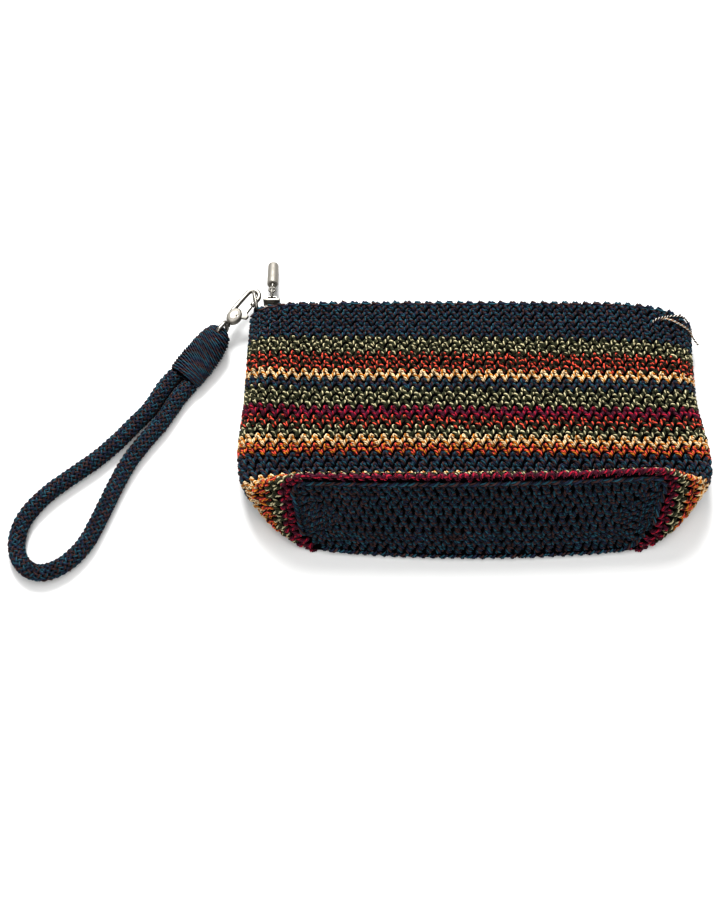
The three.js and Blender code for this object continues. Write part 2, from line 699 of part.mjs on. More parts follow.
function makeCornerRing() {
  const holder = new THREE.Group();
  holder.position.set(BAR_X, BAR_Y, CLASP_Z);
  holder.rotation.z = RING_LEAN + Math.PI;
  wristlet.add(holder);
  const ring = closedWire(new RoundedRing(RING_LENGTH, RING_HEIGHT, RING_CORNER), RING_WIRE, 40, 8);
  addPart(holder, 'corner_ring', ring, NICKEL);

  const inner = RING_WIRE + GAP;
  const outer = inner + TAB_CLOTH;
  const tabHalf = RING_HEIGHT / 2 - RING_CORNER - 0.1;
  const outline = new THREE.Shape();
  outline.absarc(0, 0, outer, 0, Math.PI);
  const root = LIP_Y - LIP_DROP + GAP - BAR_Y;
  outline.lineTo(-outer, root);
  outline.lineTo(outer, root);
  outline.closePath();
  const hole = new THREE.Path();
  hole.absarc(0, 0, inner, 0, 2 * Math.PI, true);
  outline.holes.push(hole);
  const tab = new THREE.ExtrudeGeometry(
    outline, { depth: 2 * tabHalf, bevelEnabled: false, curveSegments: 10 });
  tab.translate(BAR_X, BAR_Y, CLASP_Z - tabHalf);
  addPart(wristlet, 'ring_tab', tab, TAPE_CLOTH);
}

// The clasp is drawn in its own frame: a runs from the swivel eye to the hook, b to the pouch's side
const clasp = new THREE.Group();
clasp.position.set(
  HOOK_X - HOOK_A * Math.cos(CLASP_ANGLE), HOOK_Y - HOOK_A * Math.sin(CLASP_ANGLE), CLASP_Z);
clasp.rotation.z = CLASP_ANGLE;
wristlet.add(clasp);

function flatShape(points) {
  return new THREE.Shape(points.map(([a, b]) => new THREE.Vector2(a, -b)));
}

function plateOf(shape, thick) {
  const settings = { depth: thick, bevelEnabled: false, curveSegments: 12 };
  const plate = new THREE.ExtrudeGeometry(shape, settings);
  plate.translate(0, 0, -thick / 2);
  return plate;
}

function makeClasp() {
  const outer = HOOK_RADIUS + HOOK_WIRE / 2;
  const inner = HOOK_RADIUS - HOOK_WIRE / 2;
  const tipEnd = GATE_END + GAP;
  const hook = new THREE.Shape();
  hook.moveTo(BODY_END - 3, outer);
  hook.lineTo(HOOK_A, outer);
  hook.absarc(HOOK_A, 0, outer, Math.PI / 2, -Math.PI / 2, true);
  hook.lineTo(tipEnd, -outer);
  hook.lineTo(tipEnd, -inner);
  hook.lineTo(HOOK_A, -inner);
  hook.absarc(HOOK_A, 0, inner, -Math.PI / 2, Math.PI / 2, false);
  hook.lineTo(BODY_END - 3, inner);
  const half = BODY_WIDTH / 2;
  const body = new THREE.Shape();
  const round = 2.2;
  body.moveTo(BODY_START + round, -half);
  body.lineTo(BODY_END - round, -half);
  body.absarc(BODY_END - round, -half + round, round, -Math.PI / 2, 0, false);
  body.lineTo(BODY_END, outer);
  body.lineTo(BODY_START + round, half);
  body.absarc(BODY_START + round, half - round, round, Math.PI / 2, Math.PI, false);
  body.absarc(BODY_START + round, -half + round, round, Math.PI, 1.5 * Math.PI, false);
  const slotHalf = GATE_THICK / 2 + GAP;
  const slot = boxBetween([BODY_START + 2.6, -BODY_WIDTH, -slotHalf], [BODY_END + 1, 0.9, slotHalf]);
  const stemBore = new THREE.CylinderGeometry(STEM_RADIUS + GAP, STEM_RADIUS + GAP, 4, 16);
  stemBore.rotateZ(Math.PI / 2);
  stemBore.translate(BODY_START + 1, 0, 0);
  const headRadius = STEM_RADIUS + 0.6;
  const chamber = new THREE.CylinderGeometry(headRadius + GAP, headRadius + GAP, 2.2, 16);
  chamber.rotateZ(Math.PI / 2);
  chamber.translate(BODY_START + 2.7, 0, 0);
  const pinBore = new THREE.CylinderGeometry(PIN_RADIUS + 0.05, PIN_RADIUS + 0.05, BODY_THICK + 2, 16);
  pinBore.rotateX(Math.PI / 2);
  pinBore.translate(PIVOT_A, -PIVOT_B, 0);
  let solid = toSolid(plateOf(hook, HOOK_THICK)).add(toSolid(plateOf(body, BODY_THICK)));
  for (const cut of [slot, stemBore, chamber, pinBore]) {
    solid = solid.subtract(toSolid(cut));
  }
  addPart(clasp, 'clasp_hook', toGeometry(solid), NICKEL);

  const gateShape = flatShape([
    [PIVOT_A - 0.9, PIVOT_B - 1.0], [PIVOT_A + 3, PIVOT_B - 1.0], [GATE_END - 3, inner],
    [GATE_END, inner], [GATE_END, outer - 0.3], [PIVOT_A + 4.4, outer - 0.1],
    [PIVOT_A + 3.6, outer + 1.4], [PIVOT_A + 1.8, outer + 1.4], [PIVOT_A + 0.8, PIVOT_B + 1.3],
    [PIVOT_A - 0.9, PIVOT_B + 1.0],
  ]);
  const gate = toSolid(plateOf(gateShape, GATE_THICK)).subtract(toSolid(pinBore));
  addPart(clasp, 'clasp_gate', toGeometry(gate), NICKEL);

  const pin = new THREE.CylinderGeometry(PIN_RADIUS, PIN_RADIUS, BODY_THICK, 16);
  pin.rotateX(Math.PI / 2);
  pin.translate(PIVOT_A, -PIVOT_B, 0);
  addPart(clasp, 'gate_pin', pin, NICKEL);

  const springTop = -(PIVOT_B - 1.0) + 0.9 - 0.3;
  class Coil extends THREE.Curve {
    getPoint(t, target = new THREE.Vector3()) {
      const turns = 2.5;
      const radius = 0.5;
      const angle = 2 * Math.PI * turns * t;
      const low = -(PIVOT_B - 1.0) + GAP + 0.2;
      const across = PIVOT_A + 2.1 + radius * Math.cos(angle);
      return target.set(across, lerp(low, springTop, t), radius * Math.sin(angle));
    }
  }
  const wire = new THREE.Shape();
  wire.absarc(0, 0, 0.13, 0, 2 * Math.PI);
  const settings = { steps: 20, curveSegments: 3, extrudePath: new Coil() };
  const spring = new THREE.ExtrudeGeometry(wire, settings);
  addPart(clasp, 'gate_spring', spring, NICKEL);
}

function makeSwivelEye() {
  const half = EYE_HEIGHT / 2;
  const round = 2.6;
  const outline = new THREE.Shape();
  outline.absarc(EYE_LENGTH - round, half - round, round, 0, Math.PI / 2);
  outline.absarc(round, half - round, round, Math.PI / 2, Math.PI);
  outline.absarc(round, -half + round, round, Math.PI, 1.5 * Math.PI);
  outline.absarc(EYE_LENGTH - round, -half + round, round, 1.5 * Math.PI, 2 * Math.PI);
  const hole = new THREE.Path();
  const w = EYE_WIRE;
  const small = round - 1.3;
  hole.absarc(EYE_LENGTH - w - small, half - w - small, small, 0, Math.PI / 2);
  hole.absarc(w + small, half - w - small, small, Math.PI / 2, Math.PI);
  hole.absarc(w + small, -half + w + small, small, Math.PI, 1.5 * Math.PI);
  hole.absarc(EYE_LENGTH - w - small, -half + w + small, small, 1.5 * Math.PI, 2 * Math.PI);
  outline.holes.push(hole);
  const ring = new THREE.ExtrudeGeometry(
    outline, { depth: EYE_WIRE, bevelEnabled: false, curveSegments: 6 });
  ring.translate(0, 0, -EYE_WIRE / 2);
  ring.rotateX(Math.PI / 2);
  const stemEnd = BODY_START + 2.7;
  const stem = new THREE.CylinderGeometry(STEM_RADIUS, STEM_RADIUS, stemEnd - EYE_LENGTH + 1, 16);
  stem.rotateZ(Math.PI / 2);
  stem.translate((stemEnd + EYE_LENGTH - 1) / 2, 0, 0);
  const head = new THREE.CylinderGeometry(STEM_RADIUS + 0.6, STEM_RADIUS + 0.6, 1.2, 16);
  head.rotateZ(Math.PI / 2);
  head.translate(stemEnd, 0, 0);
  addPart(clasp, 'swivel_eye', toGeometry(join([ring, stem, head])), NICKEL);
}

// The rope's two legs run side by side into the whipping, whose top holds a short strand through the eye
const BAR_A = EYE_WIRE / 2;
const BIGHT_Z = -0.4;
const WHIP_TOP = BAR_A + BIGHT_RADIUS + BIGHT_THICK / 2;
const WHIP_BOTTOM = WHIP_TOP - WHIP_LENGTH - WHIP_START;
const LEG_B = ROPE_RADIUS + 0.15;
const LEG_Z = ROPE_RADIUS - CLASP_Z;

function makeBight(thick, height) {
  const shape = new THREE.Shape();
  const outer = BIGHT_RADIUS + thick / 2;
  const inner = BIGHT_RADIUS - thick / 2;
  const tail = -BIGHT_TAIL;
  shape.moveTo(tail, outer);
  shape.lineTo(BAR_A, outer);
  shape.absarc(BAR_A, 0, outer, Math.PI / 2, -Math.PI / 2, true);
  shape.lineTo(tail, -outer);
  shape.lineTo(tail, -inner);
  shape.lineTo(BAR_A, -inner);
  shape.absarc(BAR_A, 0, inner, -Math.PI / 2, Math.PI / 2, false);
  shape.lineTo(tail, inner);
  const plate = plateOf(shape, height);
  plate.translate(0, 0, BIGHT_Z);
  return plate;
}

// Sections of the whipping from its lower end to its top: place, half width, half height, middle height
const WHIP_LOWER = lerp(WHIP_BOTTOM, WHIP_TOP, 0.35);
const WHIP_UPPER = lerp(WHIP_BOTTOM, WHIP_TOP, 0.65);
const WHIP_SECTIONS = [
  { a: WHIP_BOTTOM, b: 0.42 * WHIP_WIDTH, z: 0.84 * WHIP_HALF, mid: 0.88 * WHIP_HALF },
  { a: WHIP_BOTTOM + WHIP_ROUND, b: 0.49 * WHIP_WIDTH, z: WHIP_HALF, mid: WHIP_HALF + WHIP_LIFT },
  { a: WHIP_LOWER, b: 0.5 * WHIP_WIDTH, z: 1.1 * WHIP_HALF, mid: 1.16 * WHIP_HALF },
  { a: WHIP_UPPER, b: 0.47 * WHIP_WIDTH, z: 1.14 * WHIP_HALF, mid: 1.44 * WHIP_HALF },
  { a: WHIP_TOP - WHIP_SHOULDER, b: 0.4 * WHIP_WIDTH, z: 1.04 * WHIP_HALF, mid: 1.72 * WHIP_HALF },
  { a: WHIP_TOP - WHIP_SHOULDER / 2, b: 0.33 * WHIP_WIDTH, z: 0.84 * WHIP_HALF, mid: 1.8 * WHIP_HALF },
];

function loft(sections, sides) {
  const positions = [];
  const index = [];
  const ring = (section) => {
    for (let j = 0; j < sides; j++) {
      const angle = 2 * Math.PI * j / sides;
      const height = section.mid - CLASP_Z + section.z * Math.sin(angle);
      positions.push(section.a, section.b * Math.cos(angle), height);
    }
  };
  sections.forEach(ring);
  for (let k = 0; k < sections.length - 1; k++) {
    for (let j = 0; j < sides; j++) {
      const turn = (j + 1) % sides;
      const here = k * sides;
      const next = here + sides;
      index.push(here + j, here + turn, next + j, here + turn, next + turn, next + j);
    }
  }
  const last = (sections.length - 1) * sides;
  for (let j = 1; j < sides - 1; j++) {
    index.push(0, j + 1, j, last, last + j, last + j + 1);
  }
  const geometry = new THREE.BufferGeometry();
  geometry.setAttribute('position', new THREE.Float32BufferAttribute(positions, 3));
  geometry.setIndex(index);
  return geometry;
}

function makeStrap() {
  addPart(clasp, 'strap_bight', makeBight(BIGHT_THICK, BIGHT_HEIGHT), ROPE);
  const pocket = makeBight(BIGHT_THICK + 2 * GAP, BIGHT_HEIGHT + 2 * GAP);
  const slotHalf = (EYE_WIRE + EYE_WIRE) / 2;
  const slot = boxBetween(
    [-4 * GAP, -slotHalf, -2 * EYE_HEIGHT], [WHIP_TOP + EYE_LENGTH, slotHalf, 2 * EYE_HEIGHT]);
  const whip = toSolid(loft(WHIP_SECTIONS, 24)).subtract(toSolid(pocket)).subtract(toSolid(slot));
  addPart(clasp, 'strap_whipping', toGeometry(whip), ROPE);
}

function tablePoint(a, b) {
  const cos = Math.cos(CLASP_ANGLE);
  const sin = Math.sin(CLASP_ANGLE);
  return new THREE.Vector3(
    clasp.position.x + a * cos + b * sin, clasp.position.y + a * sin - b * cos, ROPE_RADIUS);
}

function makeRope() {
  const start = WHIP_BOTTOM - GAP;
  const straight = start - 2 * ROPE_RADIUS;
  const points = [
    tablePoint(start, -LEG_B), tablePoint(straight, -LEG_B),
    ...ROPE_ROUTE.map(([x, y]) => new THREE.Vector3(x, y, ROPE_RADIUS)),
    tablePoint(straight, LEG_B), tablePoint(start, LEG_B),
  ];
  const route = new THREE.CatmullRomCurve3(points, false, 'centripetal');
  const section = new THREE.Shape();
  for (let k = 0; k < ROPE_SIDES; k++) {
    const angle = 2 * Math.PI * k / ROPE_SIDES;
    const method = k === 0 ? 'moveTo' : 'lineTo';
    section[method](ROPE_RADIUS * Math.cos(angle), ROPE_RADIUS * Math.sin(angle));
  }
  const rope = new THREE.ExtrudeGeometry(section, { steps: ROPE_STEPS, extrudePath: route });
  addPart(wristlet, 'strap_loop', rope, ROPE);
}

makePouchBack();
makePouchFront();
makeBase();
makeZip();
makeSlider();
makePull();
makeCornerRing();
makeClasp();
makeSwivelEye();
makeStrap();
makeRope();

export default wristlet;
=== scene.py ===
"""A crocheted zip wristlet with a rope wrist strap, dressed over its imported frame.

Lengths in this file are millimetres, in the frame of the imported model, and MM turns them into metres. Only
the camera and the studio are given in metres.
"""
import math

import bmesh
import bpy
import numpy as np
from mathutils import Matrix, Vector


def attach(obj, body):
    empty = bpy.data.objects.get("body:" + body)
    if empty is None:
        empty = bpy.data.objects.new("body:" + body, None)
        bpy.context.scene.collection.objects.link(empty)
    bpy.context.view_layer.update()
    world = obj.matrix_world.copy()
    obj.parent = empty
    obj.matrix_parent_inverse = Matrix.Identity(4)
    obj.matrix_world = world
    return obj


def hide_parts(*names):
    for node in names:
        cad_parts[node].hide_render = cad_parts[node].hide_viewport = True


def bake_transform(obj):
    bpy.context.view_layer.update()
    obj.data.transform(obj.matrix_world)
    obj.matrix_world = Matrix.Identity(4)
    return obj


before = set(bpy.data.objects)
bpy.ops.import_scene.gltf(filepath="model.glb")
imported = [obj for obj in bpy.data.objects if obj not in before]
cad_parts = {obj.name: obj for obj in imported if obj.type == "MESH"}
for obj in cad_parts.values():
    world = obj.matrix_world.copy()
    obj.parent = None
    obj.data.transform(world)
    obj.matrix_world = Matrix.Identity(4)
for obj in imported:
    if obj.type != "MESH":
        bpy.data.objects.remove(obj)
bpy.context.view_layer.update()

MM = 0.001
TURN = 2 * math.pi
UP = np.array([0.0, 0.0, 1.0])
REST_POINT_Y = 60.0
rng = np.random.default_rng(24)

# The pouch's wall, with the same sizes as its solids
POUCH_WIDTH = 203.0
LIP_Y = 114.0 - REST_POINT_Y
ROUNDS = 24
CORNER_ROUND = 4
MIDDLE_ROUND = 13
WALL = 3.6
BASE_LENGTH = 168.0
BASE_DEPTH = 45.0
BASE_CORNER = 12.0
LEAST_CORNER = 0.6
LEAST_WIDTH = 1.4
BASE_TILT = math.radians(62.9)
BASE_EDGE_Y = 1.3 - REST_POINT_Y
BASE_EDGE_Z = 0.4
BASE_TAPER = 4.0
LOW_BOW = 4.8
RIDGE_BOW = 1.8
RIDGE_TILT = 1.5
CORNER_SPREAD = 9.0
ROUND_PITCH = 4.4
LIP_FOLD = 7.8
LINING_DEPTH = 3.9
LINING = 0.7
LINING_START = 1.2
GROUND_DEPTH = 1.75
GROUND_BACK = WALL - 0.1
GROUND_MARGIN = 1.2
ROUND_LEAN = 0.06
BASE_ROUNDS = 4
BASE_ROUND_PITCH = BASE_DEPTH / 2 / BASE_ROUNDS
CHAIN_SAMPLES = 10
TABLE_SIZE = 1201
EDGE_DRIFT = (0.2, -0.3, -0.9)
HIGH_CHAIN_START = 0.3
LOW_CHAIN_END = 0.62
LOW_CHAIN_RADIUS = 1.2
LIP_CHAIN_DRIFT = (0.1, 0.9, 1.5)
LIP_CHAIN_LIFT = (-0.4, 0.85)
LIP_CHAIN_RADIUS = 0.82
END_REACH = 18.0
END_ROLL = 1.5
BASE_EASE = 40.0
EDGE_OVERHANG = 1.2
LOW_EDGE_INSET = 2.0
STITCHES = 88
STITCH_PITCH = 4.65
NEARBY = 0.002
ROUND_STEP = 0.15

# Wall sections past the base: round, width, shift, fold radius, height, Y of the back, front and two folds
SECTIONS = [
    dict(round=CORNER_ROUND, width=203.0, shift=0.0, fold=13.0, height=28.0,
         back=18.8, front=28.0, left=26.5, right=28.0, left_bend=6, right_bend=6),
    dict(round=MIDDLE_ROUND, width=200.5, shift=-1.2, fold=10.0, height=21.0,
         back=62.7, front=67.26, left=70.0, right=68.0, left_bend=8, right_bend=8),
    dict(round=ROUNDS, width=200.0, shift=0.0, fold=7.8, height=16.4,
         back=114.0, front=114.0, left=109.0, right=103.5, left_bend=14, right_bend=8),
]

BASE_UP = np.array([0.0, math.cos(BASE_TILT), math.sin(BASE_TILT)])
BASE_IN = np.array([0.0, math.sin(BASE_TILT), -math.cos(BASE_TILT)])
BASE_EDGE = np.array([0.0, BASE_EDGE_Y, BASE_EDGE_Z])

# The clasp's own frame: a runs from the swivel eye to the hook, s across it, away from the pouch
CLASP_TURN = math.radians(52.3)
CLASP_Z = 9.5
HOOK_X = 2.7 - POUCH_WIDTH / 2
HOOK_Y = LIP_Y + 6.7
HOOK_A = 26.0
HOOK_RADIUS = 2.8
HOOK_WIRE = 2.0
HOOK_THICK = 2.4
TIP_A = 21.9
BODY_A = 12.7
BODY_LENGTH = 4.2
BODY_WIDTH = 3.2
BODY_HEIGHT = 2.2
GATE_OUTLINE = [(12.1, -0.6), (16.0, -0.8), (18.4, -1.9), (21.4, -1.85), (21.4, -3.4), (17.6, -3.6),
                (16.6, -5.2), (14.9, -5.2), (13.8, -2.9), (12.1, -2.5)]
CLASP_X = HOOK_X - HOOK_A * math.cos(CLASP_TURN)
CLASP_Y = HOOK_Y - HOOK_A * math.sin(CLASP_TURN)
EYE_WIRE = 1.9
EYE_LENGTH = 8.0
EYE_HEIGHT = 10.0
STEM_PROFILE = [(6.6, 1.0), (6.9, 1.45), (7.9, 1.55), (8.15, 1.25), (8.3, 1.0), (10.4, 1.0), (10.6, 1.5),
                (11.6, 1.5)]

# The wrist strap
ROPE_RADIUS = 4.0
ROPE_STRANDS = 8
ROPE_PITCH = 20.0
ROPE_STRAND = 0.7
ROPE_WAVE = 0.4
ROPE_TWIST = 52.0
ROPE_SAMPLES = 500
ROPE_CORE = ROPE_RADIUS - 1.5
BIGHT_RADIUS = 2.9
BIGHT_THICK = 2.9
BIGHT_Z = -0.4
WHIP_WIDTH = 17.2
WHIP_HALF = 5.0
WHIP_TOP = EYE_WIRE / 2 + BIGHT_RADIUS + BIGHT_THICK / 2
WHIP_BOTTOM = WHIP_TOP - 29.2
WHIP_END = WHIP_TOP - 1.2
WHIP_TURNS = 30
WHIP_SAMPLES = 49
WHIP_THREAD = 0.47
WHIP_TWIST = 6.5
THREAD_RADIUS = 0.48
WHIP_SLANT = -0.16
LEG_SPREAD = ROPE_RADIUS + 0.15
ROPE_START = WHIP_BOTTOM - 0.3

# A direction that no metal piece is turned about, and the sides of a round wire
OBLIQUE = (0.31, 0.2, 0.93)
WIRE_SIDES = 14

# The zip across the mouth, and the ring in its tab at the lip's left corner
ZIP_Y = LIP_Y + 2.1
ZIP_Z = LIP_FOLD
ZIP_HALF = POUCH_WIDTH / 2 - 12.5
TAPE = 0.6
TAPE_DEPTH = 12.0
TAPE_EDGE = 2.9
COIL_Y = ZIP_Y + 0.9
COIL_HALF = 0.6
COIL_PITCH = 1.5
COIL_WIRE = 0.24
COIL_RISE = 0.36
COIL_REACH = 1.2
COIL_MIDDLE = 0.85
COIL_TAIL = 5.0
COIL_STEPS = 14
TAPE_FOLD = 0.5
SLIDER_X = -ZIP_HALF - 1.2
SLIDER_LENGTH = 7.6
SLIDER_TOP = ZIP_Y + 3.0
PULL_RING_RADIUS = 2.8
PULL_RING_WIRE = 0.55
PULL_RING_Y = SLIDER_TOP + 0.75 + PULL_RING_RADIUS
BARREL_DROOP = math.radians(15.95)
BARREL_RADIUS = 2.5
BARREL_START = PULL_RING_RADIUS + 3.4
BARREL_LENGTH = 13.0
BARREL_EDGES = (0.5, 1.2)
RING_LEAN = math.atan2(-0.98, 0.2)
RING_LENGTH = 8.8
RING_HEIGHT = 9.6
RING_CORNER = 2.6
RING_WIRE = 0.75
TAB_BEND = 1.35
BAR_X = HOOK_X + RING_WIRE * math.cos(CLASP_TURN) + RING_LENGTH * math.cos(RING_LEAN)
BAR_Y = HOOK_Y + RING_WIRE * math.sin(CLASP_TURN) + RING_LENGTH * math.sin(RING_LEAN)

# The rope's route on the table between its two ends in the whipping, as in the solid
ROPE_ROUTE = [
    (-143.6, 66.7), (-150.0, 59.2), (-157.4, 50.6), (-166.0, 42.2), (-175.3, 34.9),
    (-184.6, 27.4), (-191.6, 20.0), (-196.2, 12.2), (-197.8, 3.7), (-196.2, -3.6),
    (-191.9, -8.6), (-186.1, -10.2), (-179.6, -8.2), (-173.4, -3.6), (-168.0, 3.2),
    (-164.0, 11.8), (-160.1, 21.4), (-156.0, 31.6), (-151.2, 41.6), (-145.0, 51.0),
    (-138.4, 59.8),
]

# The mouth opens about a line behind the base. Pieces given this mark have their place baked into their mesh
# instead of going to a body
BENDS = "bends with the mouth"


def unit(vectors):
    return vectors / np.maximum(np.linalg.norm(vectors, axis=-1, keepdims=True), 1e-9)


def section_half(section, front):
    """Half of a flattened tube, from its left fold to its right one, tabled evenly by its length."""
    reach = section["width"] / 2
    fold = section["fold"]
    flat = reach - fold
    arc = fold * math.pi / 2
    total = 2 * (arc + flat)
    raw = np.linspace(0, 1, TABLE_SIZE)
    s = np.minimum(raw, 1 - raw) * total
    side = np.where(raw < 0.5, -1.0, 1.0)
    angle = np.minimum(s / fold, math.pi / 2)
    x = np.where(s < arc, side * (flat + fold * np.cos(angle)), side * (flat - (s - arc)))
    arch = (section["height"] - 2 * fold) * (1 - np.minimum(np.abs(x) / flat, 1) ** 2)
    over = np.where(s < arc, fold + fold * np.sin(angle), 2 * fold + arch)
    under = np.where(s < arc, fold - fold * np.sin(angle), 0.0)
    z = over if front else under
    steps = np.hypot(np.diff(x), np.diff(z))
    length = np.concatenate([[0.0], np.cumsum(steps)])
    bend = np.where(x < 0, section["left_bend"], section["right_bend"])
    end = np.where(x < 0, section["left"], section["right"])
    middle = section["front"] if front else section["back"]
    y = middle + (end - middle) * (np.abs(x) / reach) ** bend - REST_POINT_Y
    return length / length[-1], np.stack([x + section["shift"], y, z], axis=1)


SECTION_TABLES = [(section_half(s, False), section_half(s, True)) for s in SECTIONS]


def half_place(u):
    """Where u lies on its half of the way round, from left to right, and whether that is the front half."""
    turn = u % 1.0
    front = turn > 0.5
    return np.where(front, 2 * (1 - turn), 2 * turn), front


def outline_point(f, front, length, depth, corner):
    """Half of a rounded oblong, from the middle of its left side to the middle of its right side."""
    side = depth / 2 - corner
    arc = corner * math.pi / 2
    run = length / 2 - corner
    s = np.minimum(f, 1 - f) * 2 * (side + arc + run)
    hand = np.where(f < 0.5, -1.0, 1.0)
    angle = np.clip((s - side) / corner, 0, math.pi / 2)
    past = np.maximum(s - side - arc, 0)
    x = hand * (run + corner * np.cos(angle) - past)
    w = np.where(front, 1.0, -1.0) * (np.minimum(s, side) + corner * np.sin(angle))
    return x, w


def base_face(x, w):
    """The base's outer face, bowed out at its middle. w runs up it from 0 at its middle."""
    share = w / BASE_DEPTH + 0.5
    along = x / (BASE_LENGTH / 2)
    low = LOW_BOW * (1 - along ** 2)
    high = RIDGE_BOW * (1 - along ** 2) - RIDGE_TILT * along
    point = BASE_EDGE + BASE_UP * (w + BASE_DEPTH / 2)[..., None]
    taper = 1 - 2 * BASE_TAPER / BASE_LENGTH
    point[..., 0] = x * (taper + (1 - taper) * share)
    point[..., 1] -= low + (high - low) * share
    return point


def wall_face(u, row):
    """The wall's outer face. u goes from the left fold under the back to 0.5, and back over the front."""
    u, row = np.broadcast_arrays(np.asarray(u, float), np.asarray(row, float))
    f, front = half_place(u)
    x, w = outline_point(f, front, BASE_LENGTH, BASE_DEPTH, BASE_CORNER)
    points = [base_face(x, w)]
    for back_table, front_table in SECTION_TABLES:
        halves = []
        for share, table in (back_table, front_table):
            halves.append(np.stack([np.interp(f, share, table[:, k]) for k in range(3)], axis=-1))
        points.append(np.where(front[..., None], halves[1], halves[0]))
    rows = [0, CORNER_ROUND, MIDDLE_ROUND, ROUNDS]
    spread = CORNER_SPREAD * np.maximum(0, np.abs(x) - BASE_LENGTH / 2 + BASE_CORNER) / BASE_CORNER
    first = np.broadcast_to(BASE_IN * ROUND_PITCH, points[0].shape).copy()
    first[..., 0] = np.sign(x) * spread
    slopes = [first]
    for k in range(1, 4):
        ahead = min(k + 1, 3)
        slopes.append((points[ahead] - points[k - 1]) / (rows[ahead] - rows[k - 1]))
    face = np.zeros_like(points[0])
    for k in range(1, 4):
        here = (row > rows[k - 1]) if k > 1 else np.ones_like(row, bool)
        here &= (row <= rows[k]) if k < 3 else True
        span = rows[k] - rows[k - 1]
        t = ((row - rows[k - 1]) / span)[..., None]
        part = points[k - 1] * (2 * t ** 3 - 3 * t ** 2 + 1)
        part = part + slopes[k - 1] * (t ** 3 - 2 * t ** 2 + t) * span
        part += points[k] * (3 * t ** 2 - 2 * t ** 3) + slopes[k] * (t ** 3 - t ** 2) * span
        face = np.where(here[..., None], part, face)
    face[..., 2] = np.maximum(face[..., 2], 0)
    return face


def wall_point(u, row, depth):
    """A point at a depth inside the wall, with the wall's outward direction there."""
    u, row, depth = np.broadcast_arrays(*(np.asarray(a, float) for a in (u, row, depth)))
    inside = np.clip(row, 0, ROUNDS)
    along_u = wall_face(u + NEARBY, inside) - wall_face(u - NEARBY, inside)
    low = wall_face(u, np.maximum(inside - ROUND_STEP, 0))
    high = wall_face(u, np.minimum(inside + ROUND_STEP, ROUNDS))
    inward = unit(np.cross(along_u, high - low))
    past = (row - inside)[..., None] * ROUND_PITCH * unit(high - low)
    return wall_face(u, inside) + past + inward * depth[..., None], -inward


def base_point(t, inset, depth):
    """A point on the base. t goes round it as u does round the wall, inset is in from its edge."""
    t, inset, depth = np.broadcast_arrays(*(np.asarray(a, float) for a in (t, inset, depth)))
    f, front = half_place(t)
    corner = np.maximum(BASE_CORNER - inset, LEAST_CORNER)
    length = BASE_LENGTH - 2 * inset
    width = np.maximum(BASE_DEPTH - 2 * inset, LEAST_WIDTH)
    x, w = outline_point(f, front, length, width, corner)
    point = base_face(x, w) + depth[..., None] * BASE_IN
    return point, np.broadcast_to(-BASE_IN, point.shape)


def smooth_path(points, samples):
    """Points along one spline through the given ones."""
    points = np.asarray(points, float)
    count = len(points)
    t = np.linspace(0, count - 1, samples)
    k = np.clip(t.astype(int), 0, count - 2)
    s = (t - k)[:, None]
    before = points[np.maximum(k - 1, 0)]
    here = points[k]
    ahead = points[k + 1]
    after = points[np.minimum(k + 2, count - 1)]
    return 0.5 * (2 * here + (ahead - before) * s + (2 * before - 5 * here + 4 * ahead - after) * s ** 2
                  + (3 * here - before - 3 * ahead + after) * s ** 3)


def turned(angle, first, second):
    """Directions at an angle between two that are square to each other."""
    return np.cos(angle)[..., None] * first + np.sin(angle)[..., None] * second


def ply_rings(paths, outward, radius, turns, phase, plies=3, sides=5):
    """Rings of points round each ply of yarns that follow paths (yarns, samples, 3)."""
    along = unit(np.gradient(paths, axis=1))
    across = unit(np.cross(along, outward))
    up = np.cross(across, along)
    samples = paths.shape[1]
    ply_radius = radius / (1 + 1 / math.sin(math.pi / plies)) if plies > 1 else radius
    offset = radius - ply_radius
    share = np.linspace(0, 1, samples)
    angle = phase[:, None, None] + TURN * (
        np.arange(plies)[None, :, None] / plies + np.asarray(turns)[..., None, None] * share[None, None, :])
    offset = np.asarray(offset)
    ply_radius = np.asarray(ply_radius)
    while offset.ndim < 3:
        offset = offset[..., None]
        ply_radius = ply_radius[..., None]
    across, up = across[:, None], up[:, None]
    centre = paths[:, None] + offset[..., None] * turned(angle, across, up)
    spokes = turned(TURN * np.arange(sides) / sides, across[..., None, :], up[..., None, :])
    rings = centre[..., None, :] + 1.08 * ply_radius[..., None, None] * spokes
    return rings.reshape(-1, samples, sides, 3)


